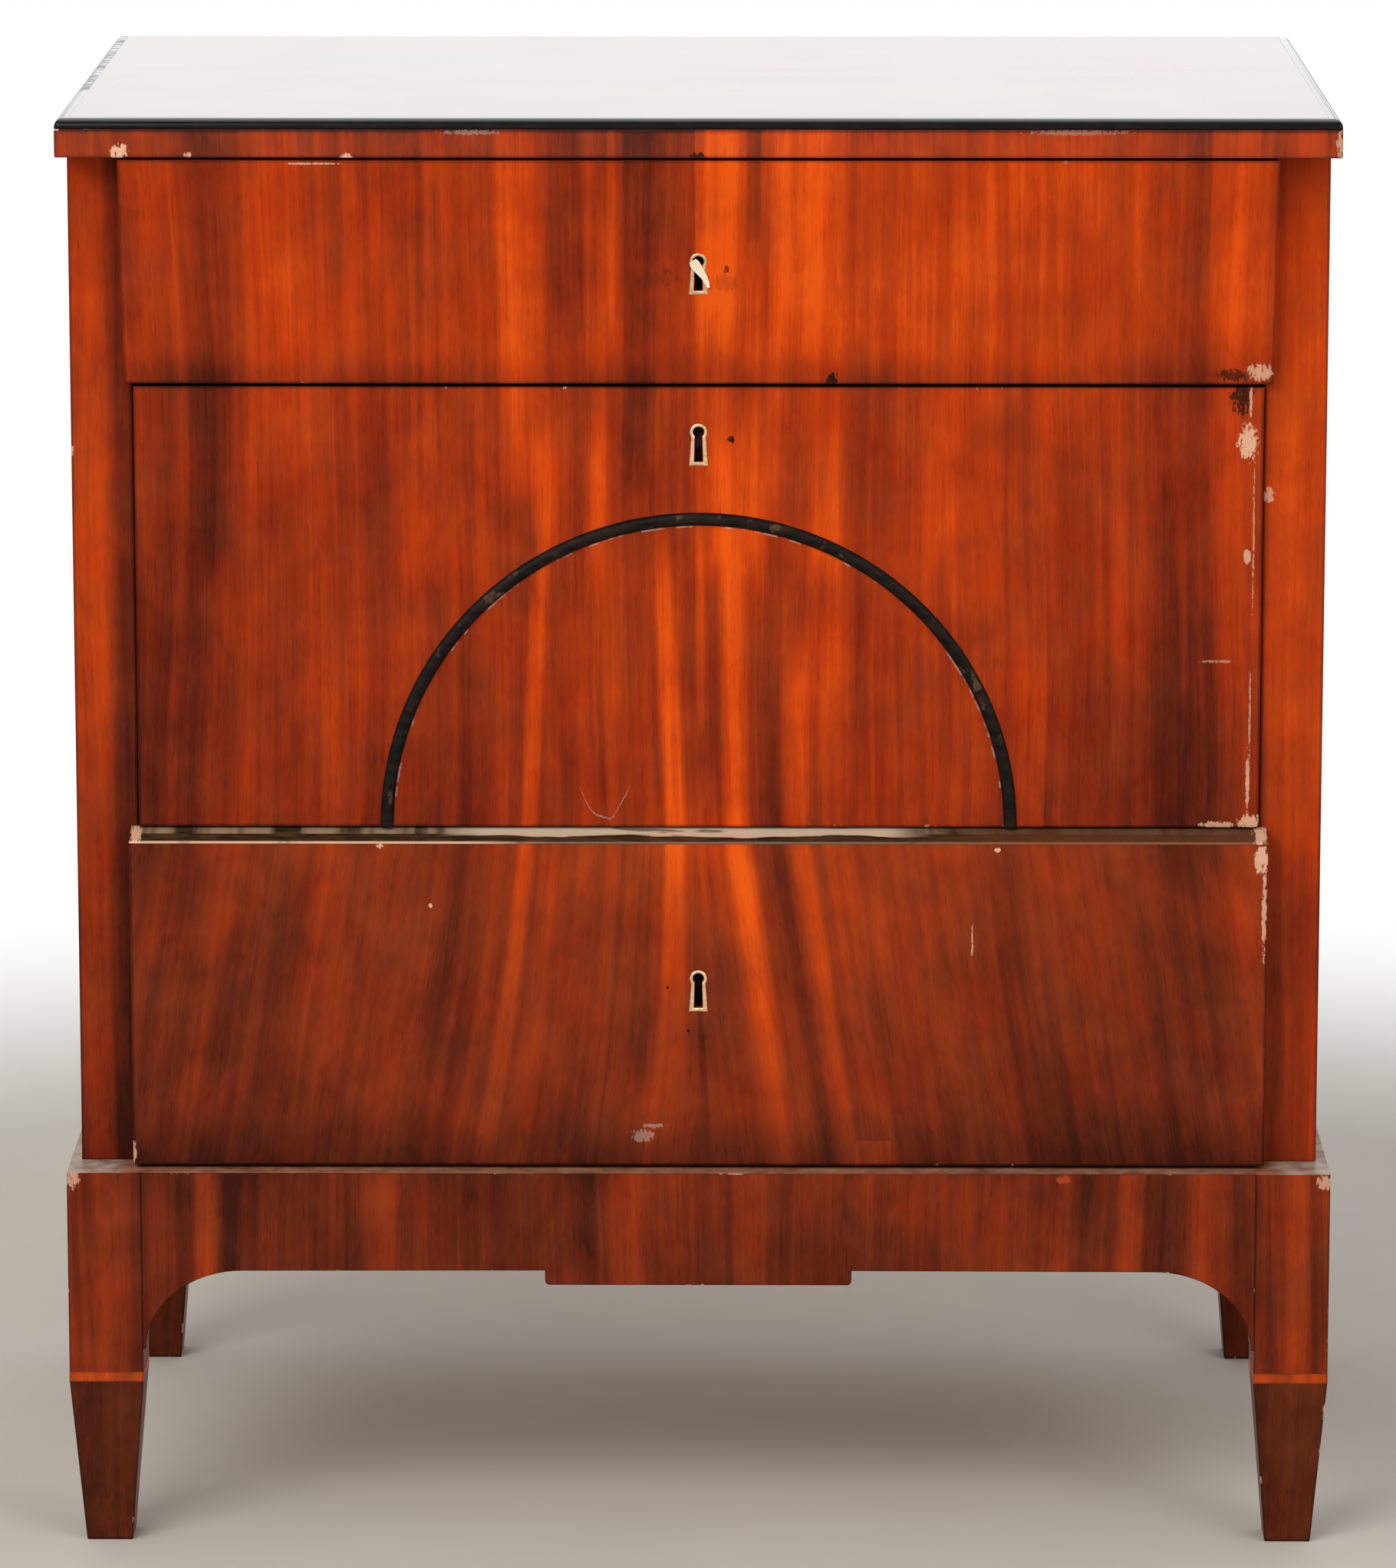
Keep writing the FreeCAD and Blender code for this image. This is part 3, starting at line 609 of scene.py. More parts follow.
def mahogany(name, seed=0.0, level=0.5, streaks=(), spread=0.0, foot=None, head=None, marks=(), wear=0.4,
             low_shade=0.0, stile_dirt_and_shade=0.0, ends=0.0, dusty=0.0, painted_gap_shade=0.0, fine=1.0, brown=0.35, coat=0.0,
             arch=None, scratch=None, let_in=None, gloss=0.04, roughness=0.3):
    """A mahogany finish: tone first, then colour, then gloss.
    The level sets its mean tone, fine the strength of its ribbons, brown its share of brown tones, and
    spread how much the grain fans out below the fork. Foot is a height and a rise over which the tone
    comes up from dark, head a height and a fall over which it goes dark again. Low_shade darkens
    downwards, the stile's shade darkens beside the drawers, partly dirt and partly painted shade from the
    proud fronts, with less of it on the right and the right side painted lighter as painted light, and
    ends lightens the legs. Marks are chips and stains, and on the top two of painted sheen,
    (x, z, reach x, reach z, colour, strength). Arch, scratch and let_in place the damage of their name.
    Wear bares the rounds, dusty covers a ledge with dust, the gap shade paints the faces that look up
    black as painted shade in the gaps between the drawers, and coat polishes a top. Lengths in marks,
    foot, head, scratch and let_in are in millimetres."""
    finish = Finish(name, Specular_IOR_Level=gloss, Coat_Roughness=0.08)
    x, y, z, across, along, on_top, on_front = directions(finish)
    if spread:
        across = across - forked(x, z, spread)
    bent, tone = grain(finish, across, along, seed, fine)
    tone = tone + level - on_top * (TOP_DARK if coat else 0.0)
    if streaks:
        tone = streaked(tone, bent, z, streaks, z.ease(*STREAKS_FADE) if spread else 1.0)
        tone = tone + (x > SEAM) * z.ease(*SEAM_Z) * (1 - on_top) * SEAM_STEP
        tone = tone - abs(x).ease(*OUTER_X) * (1 - z.ease(*OUTER_Z)) * OUTER_DARK
    if foot:
        tone = tone - (1 - z.ease(foot[0] * mm, (foot[0] + foot[1]) * mm)) * FOOT_DARK
    if head:
        tone = tone - z.ease((head[0] - head[1]) * mm, head[0] * mm) * (1 - on_top) * HEAD_DARK
    if low_shade:
        tone = tone - (1 - z.ease(*LOW_SHADE_Z)) * low_shade
    # Beside the drawers: partly dirt, partly painted shade cast by the proud drawer fronts. On the right
    # there is less of it, and everything right of the middle is painted lighter, as painted light.
    if stile_dirt_and_shade:
        shade = (1 - abs(x).ease(*STILE_X)) * (1 - (x > 0) * STILE_RIGHT) * stile_dirt_and_shade
        tone = tone - shade + (x > 0) * RIGHT_PAINTED_LIGHT
    if ends:
        tone = tone + abs(x).ease(*LEG_X) * ends
    if let_in:
        tone = tone + let_in_piece(x, z, *let_in) * LET_IN_LIFT
    pores = finish.noise((across, seed + 7, along), PORE_WAVES, detail=1.0)
    worn = finish.worn()
    tone = tone - pores.ease(*PORE_EDGE) * PORE_DARK - worn * ROUND_DARK

    share = (finish.noise((across, seed + 8, along), BROWN_WAVES, detail=3.0) - 0.5) * BROWN_SWING + brown
    colour = finish.blend(share, finish.ramp(tone, REDS), finish.ramp(tone, BROWNS))
    for mark_x, mark_z, reach_x, reach_z, paint, strength in marks:
        chip = ragged(finish, x, z, mark_x, mark_z, reach_x, reach_z) * on_front
        colour = finish.blend(chip * strength, colour, paint)
    if arch:
        colour = finish.blend(film_in_arch(finish, x, y, z, *arch), colour, DUST_AND_SHEEN)
    if scratch:
        dashes = hair_scratch(finish, x, z, *scratch) * pores.ease(*SCRATCH_DASHES)
        colour = finish.blend(dashes * SCRATCH_SHARE, colour, DUST_AND_SHEEN)
    patchy = finish.noise((x, y, z), PATCH_WAVES, detail=5.0, roughness=0.65)
    bare_here = patchy.ease(BARE_FROM - LESS_FROM * wear, BARE_TO - LESS_TO * wear)
    bare = worn * bare_here * min(wear / FULL_WEAR, 1.0)
    colour = finish.blend(bare * BARE_SHARE, colour, PALE_WOOD)
    # Painted shade: faces that look up go black, for the top edges of the fronts that sit in the dark gaps
    # between the drawers.
    if painted_gap_shade:
        colour = finish.blend(on_top * painted_gap_shade, colour, GAP_SHADE_BLACK)
    if dusty:
        film = on_top * (z < DUST_BELOW) * patchy.ease(*DUST_PATCHES) * dusty
        colour = finish.blend(film, colour, finish.blend(abs(x).ease(*DUST_X), BROWN_DUST, DUST_AND_SHEEN))
    finish.feed("Base Color", colour)

    haze = finish.noise((x, y, z), HAZE_WAVES, detail=3.0)
    finish.feed("Roughness", haze * HAZE_DULL + (roughness - HAZE_DULL / 2) + bare * BARE_DULL)
    if coat:
        finish.feed("Coat Weight", on_top * (1 - bare) * coat)
    finish.bump(haze * HAZE_DEEP - pores * PORE_DEEP, BUMP, BUMP_DEEP)
    return finish.material


print("painted_gap_black is", [round(part, 3) for part in GAP_SHADE_BLACK])

# %% [markdown]
# ## The front's own finishes
# The top's edge and the three drawers share one seed and one list of streaks, so the bands run on from
# one to the next as the veneer did when it was laid. Their levels differ a little, and each has its
# own marks, in the places where the real one is hurt; the top also has two faint marks of painted
# sheen along its upper edge.

# %% Streaks of the front
FRONT_STREAKS = [
    (-364, 8, 0.16, 952), (-350, 32, -0.22, 400, 850), (-331, 15, -0.2, 640), (-315, 10, 0.16, 0, 500),
    (-282, 22, 0.08, 700), (-264, 12, -0.12, 0, 500), (-188, 16, 0.16, 640, 800),
    (-152, 16, -0.18, 0, 660), (-119, 14, 0.24, 690), (-115, 6, 0.34, 0, 700, -0.05),
    (-103, 10, 0.28, 640, 800), (-96, 4, 0.1, 0, 560), (-90, 14, 0.12, 640, 800), (-86, 12, -0.18, 800),
    (-76, 7, -0.06, 0, 500), (-65, 9, 0.32, 640, 800), (-57, 6, 0.1, 0, 640), (-56, 3, 0.2, 800),
    (-39.5, 10, -0.26, 700), (36.5, 5, -0.28, 870), (-33, 5, -0.14, 0, 500), (-20, 15, -0.07, 640),
    (-14, 7.5, 0.38, 0, 720, 0.042), (-2, 0.7, -0.3, 0, 400), (5, 2.5, 0.16, 540, 720),
    (4, 12, 0.12, 400, 560), (14, 3, -0.1, 500, 680), (15, 16, 0.26, 800), (28, 9, 0.3, 0, 700),
    (26, 14, 0.28, 0, 520), (31, 20, 0.3, 640, 800), (55, 5.5, -0.2, 0, 740), (71, 7, 0.3, 0, 640),
    (72, 24, 0.24, 800), (86, 9, 0.2, 640, 800), (92, 10, 0.14, 0, 660), (110, 5, -0.16, 500, 700),
    (195, 10, -0.1, 0, 660), (125, 24, -0.16, 640, 840), (130, 30, 0.08, 0, 500),
    (232, 34, -0.12, 600, 800), (328, 18, -0.2, 800), (326, 30, -0.27, 430, 860), (352, 14, 0.2, 0, 500),
    (359, 11, 0.1),
]
print(len(FRONT_STREAKS), "streaks down the front")

# %% The front's finishes
FRONT_SEED = 3.0
arch_low, arch_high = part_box("arch_moulding")
FILM_IN = 9.5 * mm
film_radius = (arch_high[0] - arch_low[0]) / 2 - FILM_IN
front_veneer = {"seed": FRONT_SEED, "streaks": FRONT_STREAKS}
slab_finish = mahogany("mahogany_top", level=0.49, head=(971, 3.5), wear=0.0, coat=1.0, gloss=0.2,
                       roughness=0.25, **front_veneer, marks=[
    (-382, 956, 7, 6, PALE_WOOD, 0.95), (-337, 954, 3, 2, PALE_WOOD, 0.7),
    (-232, 952, 5, 3.5, PALE_WOOD, 0.95), (0, 952, 7, 4.5, DARK_PATCH, 1.0),
    (423, 962, 3, 11, PALE_WOOD, 0.6), (-424, 971, 4, 1.5, PALE_WOOD, 0.8),
    # The two faint pale grey marks at a height of 969 are painted sheen, a reflection along the upper edge.
    (-400, 971.5, 16, 0.7, PALE_WOOD, 0.6), (-150, 969, 24, 2, DUST_AND_SHEEN, 0.25), (250, 969, 40, 2, DUST_AND_SHEEN, 0.2),
])
top_finish = mahogany("mahogany_top_drawer", level=0.61, foot=(796.7, 26), brown=0.25, wear=0.15, painted_gap_shade=0.3,
                      **front_veneer, marks=[
    (89.5, 800, 5, 5.5, DARK_PATCH, 1.0), (374, 805, 11, 7, PALE_WOOD, 0.7),
    (357, 803, 14, 5, DARK_PATCH, 0.8), (-21.8, 875, 4, 2.5, DARK_PATCH, 0.4),
    (18.4, 875.5, 2, 3.4, DARK_PATCH, 0.8), (-27, 869, 20, 6.5, DARK_PATCH, 0.22),
    (17, 867, 11, 7, DARK_PATCH, 0.25), (-255, 948, 22, 1, PALE_WOOD, 0.6),
])
middle_finish = mahogany("mahogany_middle_drawer", level=0.54, spread=0.16, low_shade=0.12, brown=0.25,
                         wear=0.2, painted_gap_shade=1.0, arch=(arch_low[2], film_radius), scratch=(-63.2, 500.5),
                         **front_veneer, marks=[
    (363, 787, 9, 15, DARK_PATCH, 0.9), (369, 787, 1.2, 15, PALE_WOOD, 0.7),
    (368, 757, 8, 14, PALE_WOOD, 0.85), (372, 690, 0.8, 60, PALE_WOOD, 0.45),
    (368, 680, 3, 6, PALE_WOOD, 0.7), (371, 570, 0.9, 40, PALE_WOOD, 0.45),
    (370, 525, 1.5, 24, PALE_WOOD, 0.7), (372, 498, 9, 6, PALE_WOOD, 0.8),
    (350, 496, 14, 3, PALE_WOOD, 0.7), (349, 608, 14, 1.2, PALE_WOOD, 0.35),
    (21.9, 758.3, 3.2, 3.2, DARK_PATCH, 1.0), (98, 680, 5, 2, PALE_WOOD, 0.5),
])
bottom_finish = mahogany("mahogany_bottom_drawer", level=0.65, spread=0.16, foot=(262, 50), low_shade=0.33,
                         fine=0.7, brown=0.5, wear=0.15, painted_gap_shade=0.6, let_in=(118.6, 272.2, 12, 8.5),
                         **front_veneer, marks=[
    (379, 476, 6, 12, PALE_WOOD, 0.85), (381.5, 440, 2, 38, PALE_WOOD, 0.7),
    (-383, 272, 2, 9, PALE_WOOD, 0.7), (-38, 284, 10.5, 5, DUST_AND_SHEEN, 0.3), (-30, 291, 10, 2, DUST_AND_SHEEN, 0.3),
    (-214.6, 484.5, 3, 2, PALE_WOOD, 0.9), (202, 482, 3, 2, PALE_WOOD, 0.9),
    (-20.8, 387, 1.5, 1.5, DARK_PATCH, 1.0), (-6.8, 357, 1.5, 1.5, DARK_PATCH, 1.0),
    (-180.6, 443.4, 1.8, 1.8, PALE_WOOD, 0.9), (184.8, 419, 0.9, 14, PALE_WOOD, 0.6),
])
print("four finishes with one seed")

# %% Finishes of the case and the stand
STAND_STREAKS = [
    (-334, 8, 0.3), (-316, 6, -0.14), (-124, 100, -0.08), (-202, 18, 0.1), (-72, 5, -0.1),
    (-46, 12, 0.12), (35, 10, 0.1), (60, 5, -0.12), (200, 60, 0.06), (262, 5, -0.12), (291, 8, 0.2),
    (310, 5, -0.1), (340, 12, 0.18), (-402, 7, 0.12), (404, 9, 0.14), (418, 5, -0.14),
]
# The case carries painted shade and dirt beside the drawers, and painted light over its right side.
case_finish = mahogany("mahogany_case", 11.0, 0.63, low_shade=0.24, stile_dirt_and_shade=0.36, fine=0.8,
                       wear=0.3, marks=[
    (382, 720, 5, 6, PALE_WOOD, 0.6),
])
stand_finish = mahogany("mahogany_stand", 17.0, 0.32, STAND_STREAKS, dusty=0.9, wear=0.6, fine=0.8, ends=0.12,
                        brown=0.5, marks=[
    (-425, 257, 7, 8, PALE_WOOD, 0.6), (425, 255, 8, 6, PALE_WOOD, 0.6),
    (247, 257.5, 6, 4, seen(176, 70, 34), 0.8),
])
print("two more finishes")

# %% [markdown]
# ## Black wood, pale inlay, pine and metals
# The rounded edge of the top, the arch and the ledge of the bottom drawer are blackened hardwood. It
# is never quite black: the stain wears to a brown at the crests and gathers dust in the hollows.
# Inside, the chest is plain pine, browner where air and hands reach it.

# %% Other finishes
BLACK, RUBBED_BLACK = seen(10, 9, 8), seen(150, 116, 88)
FIBRE_WAVES, RUB_WAVES = (60, 200, 200), 90
STAIN_THIN, RUBBED_HERE, CHIPPED_HERE = (0.35, 0.75), (0.6, 0.7), (0.45, 0.5)
CHIPPED_X, CHIPPED_Y = -0.41, -0.1
CREST, FIBRE_DULL, RUBBED_DULL = (0.55, 0.97), 0.12, 0.2


def ebonised(name, brown, wear, gloss, roughness, polish):
    """Black wood, brown where the stain is thin and paler where it is rubbed. The polish lies on what
    faces up, and has gone from the left end, where the edge is chipped."""
    finish = Finish(name, Specular_IOR_Level=gloss, Coat_IOR=2.4, Coat_Roughness=0.1)
    x, y, z = finish.place()
    fibre = finish.noise((x, y, z), FIBRE_WAVES, detail=4.0)
    black = finish.blend(fibre.ease(*STAIN_THIN), BLACK, brown)
    rubbed = finish.worn() * finish.noise((x, y, z), RUB_WAVES, detail=4.0).ease(*RUBBED_HERE) * wear
    finish.feed("Base Color", finish.blend(rubbed, black, RUBBED_BLACK))
    finish.feed("Roughness", fibre * FIBRE_DULL + (roughness - FIBRE_DULL / 2) + rubbed * RUBBED_DULL)
    chipped = (x < CHIPPED_X) * (y > CHIPPED_Y) * fibre.ease(*CHIPPED_HERE)
    finish.feed("Coat Weight", finish.facing()[2].ease(*CREST) * (1 - chipped) * polish)
    finish.bump(fibre, strength=0.1, distance=0.1 * mm)
    return finish.material


PINE_TONES, PINE_PLACES = [seen(112, 66, 34), seen(176, 120, 70), seen(214, 168, 112)], [0.0, 0.45, 1.0]
RINGS, RING_ALONG, RING_ACROSS = 120, 0.45, 4.4
RING_EDGE, RING_JITTER, RING_DARK, RING_DEEP = (0.2, 1.0), 0.25, 0.24, 0.3
PINE_FIBRE_ALONG, PINE_FIBRE_ACROSS, PINE_FIBRE, PINE_FIBRE_DULL = 25, 700, 0.34, 0.3
PINE_AGE_WAVES, PINE_AGE, PINE_LEVEL, PINE_DULL = 4, 0.5, 0.58, 0.62
# Where a rail's front is painted nearly black as shade in the gap between the drawers, and that black.
RAIL_SHADE_REAR, RAIL_SHADE_SOFT, RAIL_SHADE_BLACK = -190 * mm, 8 * mm, seen(20, 14, 11)


def pine(name, lengthwise=False, painted_shade_front=False, shift=0.0):
    """Planed pine, aged brown. Its rings are height lines, 120 to one, of a smooth noise drawn out along
    the board: each turns slowly dark and ends at once. Boards lie along x, or along y when lengthwise."""
    finish = Finish(name, Specular_IOR_Level=0.25)
    x, y, z = finish.place()
    along, across = (y, x) if lengthwise else (x, y)
    fibre_waves = (PINE_FIBRE_ALONG, PINE_FIBRE_ACROSS, PINE_FIBRE_ACROSS)
    fibre = finish.noise((along, across, z), fibre_waves, detail=2.0) - 0.5
    shifted = along + shift / RING_ALONG
    field = finish.noise((shifted, across, z), (RING_ALONG, RING_ACROSS, RING_ACROSS), detail=1.0)
    ring = (field * RINGS + fibre * RING_JITTER).math("FRACT").ease(*RING_EDGE)
    aged = finish.noise((x, y, z), PINE_AGE_WAVES, detail=3.0) - 0.5
    tone = fibre * PINE_FIBRE - ring * RING_DARK + aged * PINE_AGE + PINE_LEVEL
    colour = finish.ramp(tone, PINE_TONES, PINE_PLACES)
    # Painted shade: the front of the board, which sits in the dark gap between two drawers, is painted nearly
    # black.
    if painted_shade_front:
        colour = finish.blend(1 - y.ease(RAIL_SHADE_REAR - RAIL_SHADE_SOFT, RAIL_SHADE_REAR), colour, RAIL_SHADE_BLACK)
    finish.feed("Base Color", colour)
    finish.feed("Roughness", fibre * PINE_FIBRE_DULL + PINE_DULL)
    finish.bump(fibre - ring * RING_DEEP, strength=0.25, distance=0.3 * mm)
    return finish.material


TARNISH_EDGE, TARNISH_FLAT, TARNISH_DULL = (0.36, 0.68), 0.35, 0.3


def metal(name, bright, dull, roughness, waves, shine=1.0):
    """A metal that is bright where it is rubbed and dull elsewhere, in patches of so many waves to the
    metre. A shine under 1 makes it less of a mirror."""
    finish = Finish(name, Specular_IOR_Level=0.5)
    x, y, z = finish.place()
    tarnish = finish.noise((x, y, z), waves, detail=5.0, roughness=0.6).ease(*TARNISH_EDGE)
    finish.feed("Base Color", finish.blend(tarnish, bright, dull))
    finish.feed("Metallic", (1 - tarnish * TARNISH_FLAT) * shine)
    finish.feed("Roughness", tarnish * TARNISH_DULL + roughness)
    finish.bump(tarnish, strength=0.3, distance=0.1 * mm)
    return finish.material


black_finish = ebonised("ebonised", seen(22, 17, 14), wear=0.0, gloss=0.12, roughness=0.18, polish=1.0)
arch_finish = ebonised("ebonised_arch", seen(36, 26, 18), wear=0.25, gloss=0.1, roughness=0.5, polish=0.0)
inlay_finish = mahogany("inlay", 29.0, 0.7, wear=0.2, brown=0.8)
pine_finish = pine("pine")
long_pine_finish = pine("pine_lengthwise", lengthwise=True)
back_pine_finish = pine("pine_upper_back", shift=3.7)
rail_finish = pine("pine_painted_shade_edge", painted_shade_front=True)
brass_finish = metal("brass", seen(255, 218, 182), seen(204, 160, 116), 0.3, 260.0)
# A near white brass, less of a mirror: a painted highlight for the bent strip, where the real one shines
# white.
highlight_brass = metal("brass_painted_highlight", seen(255, 246, 226), seen(250, 228, 194), 0.3, 260.0, shine=0.5)
iron_finish = metal("iron", seen(78, 72, 66), seen(38, 31, 26), 0.5, 120.0)
steel_finish = metal("steel", seen(150, 146, 142), seen(92, 84, 78), 0.4, 200.0)
print("eleven more finishes")

# %% A finish for every plain solid
by_slot = {"mahogany": case_finish, "ebonised": black_finish, "pine": pine_finish, "inlay": inlay_finish,
           "brass": brass_finish, "iron": iron_finish, "steel": steel_finish}
for part in frame["record"]["subparts"]:
    solid = frame["nodes"][part["node"]]
    solid.data.materials.clear()
    solid.data.materials.append(by_slot[part["material_slot"]])
drawer_finish = {"top": top_finish, "middle": middle_finish, "bottom": bottom_finish}
for name, finish in drawer_finish.items():
    frame["nodes"][name + "_drawer_front"].data.materials[0] = finish
for name, solid in frame["nodes"].items():
    if any(word in name for word in ("drawer_side", "runner", "guide")):
        solid.data.materials[0] = long_pine_finish
for name in ("upper_rail", "lower_rail"):
    frame["nodes"][name].data.materials[0] = rail_finish
print(len(frame["nodes"]), "nodes have a finish")

# %% [markdown]
# ## Top and case
# The top is a thick board with a strip of black wood let in round its front and both ends, so it is
# two shells: the board below the strip, and the raised field inside it. The strip is one section
# carried round three sides, mitred at the corners by the same outline function.

# %% Top board
def corners_of(node):
    """A plain solid's lowest and highest corner."""
    low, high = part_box(node)
    return np.array(low), np.array(high)


STRIP_WIDTH, STRIP_HEIGHT, STRIP_ROUND = 9 * mm, 7 * mm, 6 * mm
FINE, SUNK = 0.15 * mm, 1 * mm
TOP_CORNER, TOP_LIP, FIELD_CORNER = 1.2 * mm, 1.0 * mm, 0.2 * mm
top_low, top_high = corners_of("top_board")
strip_foot = top_high[2] - STRIP_HEIGHT
shelf_high = np.array([top_high[0], top_high[1], strip_foot])
field_low = np.array([top_low[0] + STRIP_WIDTH, top_low[1] + STRIP_WIDTH, strip_foot - SUNK])
field_high = np.array([top_high[0] - STRIP_WIDTH, top_high[1], top_high[2]])
put("top_board_dressed", [board(top_low, shelf_high, TOP_CORNER, (TOP_LIP, 0)),
                          board(field_low, field_high, FIELD_CORNER, (0, FINE))],
    "case", slab_finish, ["top_board"])

# %% Black strip
# The section is a small lip, a quarter round and a flat, as insets from the top's outline and heights.
# The outline reaches past the rear, and is cut off there, so that the strip has only front corners.
STRIP_LIP, STRIP_CORNER, PAST_REAR = 0.4 * mm, 2.5 * mm, 100 * mm
turn = np.linspace(2 * QUARTER, QUARTER, 8)
side_high = STRIP_HEIGHT - STRIP_ROUND
insets = np.concatenate([[STRIP_LIP, 0], STRIP_ROUND + STRIP_ROUND * np.cos(turn),
                         [STRIP_WIDTH - FINE, STRIP_WIDTH, STRIP_WIDTH]])
heights = np.concatenate([[0, STRIP_LIP], side_high + STRIP_ROUND * np.sin(turn),
                          [STRIP_HEIGHT, STRIP_HEIGHT - FINE, 0]])
far_back = np.array([top_high[0], top_high[1] + PAST_REAR])
corner_radii = (0, 0, STRIP_CORNER, STRIP_CORNER)
loops = np.stack([rectangle_ring(top_low[:2], far_back, corner_radii, inset) for inset in insets])
per_corner = ARC_STEPS + 2
loops = np.roll(loops, 1 - 2 * per_corner, axis=1)[:, :2 * per_corner + 2]
levels = np.broadcast_to((strip_foot + heights)[:, None, None], loops.shape[:2] + (1,))
section = np.concatenate([np.minimum(loops, [np.inf, top_high[1]]), levels], -1)
strip_points, strip_faces = stack(section.transpose(1, 0, 2))
strip_worn = np.tile(((insets > 0) & (insets < STRIP_ROUND)).astype(float), loops.shape[1])
put("top_edge_strip", [(strip_points, strip_faces, strip_worn)], "case", black_finish,
    ["top_edge_bead"])

# %% Case
ARRIS, BACK_ARRIS = 1.2 * mm, 1.6 * mm
SIDES = ((LEFT, "left"), (RIGHT, "right"))
REBATE, BACK_THICK = 10 * mm, 12 * mm


def case_side(low, high, side):
    """A side board seen from above: along its front, back along its inner face, round the rebate that
    takes the back boards, and over a rounded rear arris."""
    outer, inner = (low[0], high[0]) if side == LEFT else (high[0], low[0])
    shelf = inner + side * REBATE
    turn = np.linspace(QUARTER, 2 * QUARTER, ARC_STEPS)
    arris_x = outer - side * ARRIS - side * ARRIS * np.cos(turn)
    arris_y = high[1] - ARRIS + ARRIS * np.sin(turn)
    rebate = high[1] - BACK_THICK
    corners = [[outer, low[1]], [inner, low[1]], [inner, rebate], [shelf, rebate], [shelf, high[1]]]
    outline = np.concatenate([corners, np.stack([arris_x, arris_y], -1)])
    return outlined_board(outline if side == LEFT else outline[::-1], low[2], high[2], 2, (FINE, FINE))


for side, word in SIDES:
    low, high = corners_of("stile_" + word)
    put("stile_dressed_" + word, [board(low, high, (FINE, FINE, ARRIS, ARRIS), (FINE, FINE))],
        "case", case_finish, ["stile_" + word])
    low, high = corners_of("case_side_" + word)
    put("case_side_dressed_" + word, [case_side(low, high, side)],
        "case", case_finish, ["case_side_" + word])
for node, finish in (("back_board_1", pine_finish), ("back_board_2", back_pine_finish)):
    low, high = corners_of(node)
    put(node + "_dressed", [board(low, high, BACK_ARRIS, (BACK_ARRIS, BACK_ARRIS), axis=1)],
        "case", finish, [node])

# %% [markdown]
# ## Drawer fronts
# Each drawer front is a thick pine board, and its face is a sheet of veneer sawn about a millimetre
# thick, with the keyhole's brass frame let through it. The sheet is the part one sees, so it is made
# as its own piece: rings run from the keyhole's outline over the face, round the arris and back.
# The same radial outline, with other measures, cuts the hole and shapes the brass.

# %% Keyhole outline
# Radius of the round, width of the slot at its waist and its foot, and drop of the foot.
KEY_ANGLES = 72
plate_shape = np.array([5.9, 9.8, 12.4, 22.6]) * mm
hole_shape = np.array([3.9, 5.4, 6.2, 20.2]) * mm
TINY = 1e-6


def key_reach(shape, angle):
    """Distance from the round's centre to the outline, by the angle from straight down: the round's
    radius, or within the slot's angles the nearer of its wall and its foot."""
    radius, waist, foot, drop = shape
    angle = np.abs(angle)
    dip = np.sqrt(radius ** 2 - (waist / 2) ** 2)
    slope = (foot - waist) / 2 / (drop - dip)
    wall = (waist / 2 - slope * dip) / np.maximum(np.sin(angle) - slope * np.cos(angle), TINY)
    bottom = drop / np.maximum(np.cos(angle), TINY)
    return np.where(angle < np.arctan2(waist / 2, dip), np.minimum(wall, bottom), radius)


def key_angles(*shapes):
    """Even angles all round, and the exact ones of each outline's corners."""
    exact = []
    for radius, waist, foot, drop in shapes:
        exact += [np.arctan2(waist / 2, np.sqrt(radius ** 2 - (waist / 2) ** 2)), np.arctan2(foot / 2, drop)]
    even = np.linspace(-np.pi, np.pi, KEY_ANGLES, endpoint=False)
    return np.unique(np.concatenate([even, exact, np.negative(exact)]))


def rays(angle, reach, centre):
    """Points in x and z at those reaches from the centre."""
    return np.stack([centre[0] + reach * np.sin(angle), centre[1] - reach * np.cos(angle)], -1)


print("a keyhole's outline has", len(key_angles(plate_shape, hole_shape)), "points")

# %% Veneer sheets
# The sheet stands proud of the solid front and a hair past its edges, is a few millimetres deep, and
# has a rounded rim. The rounds of the keyholes stand at these heights.
PROUD, OUTSET, SHEET, ROUND = 0.6 * mm, 0.3 * mm, 3 * mm, 1.0 * mm
KEY_Z = {"top": 881.0 * mm, "middle": 763.3 * mm, "bottom": 393.0 * mm}


def face_y(name, z):
    """The y of a drawer's face at a height: the top one leans out, the other two stand upright."""
    low, high = faces_at[name]
    share = (z - low[1]) / (high[1] - low[1])
    return low[0] + (high[0] - low[0]) * share


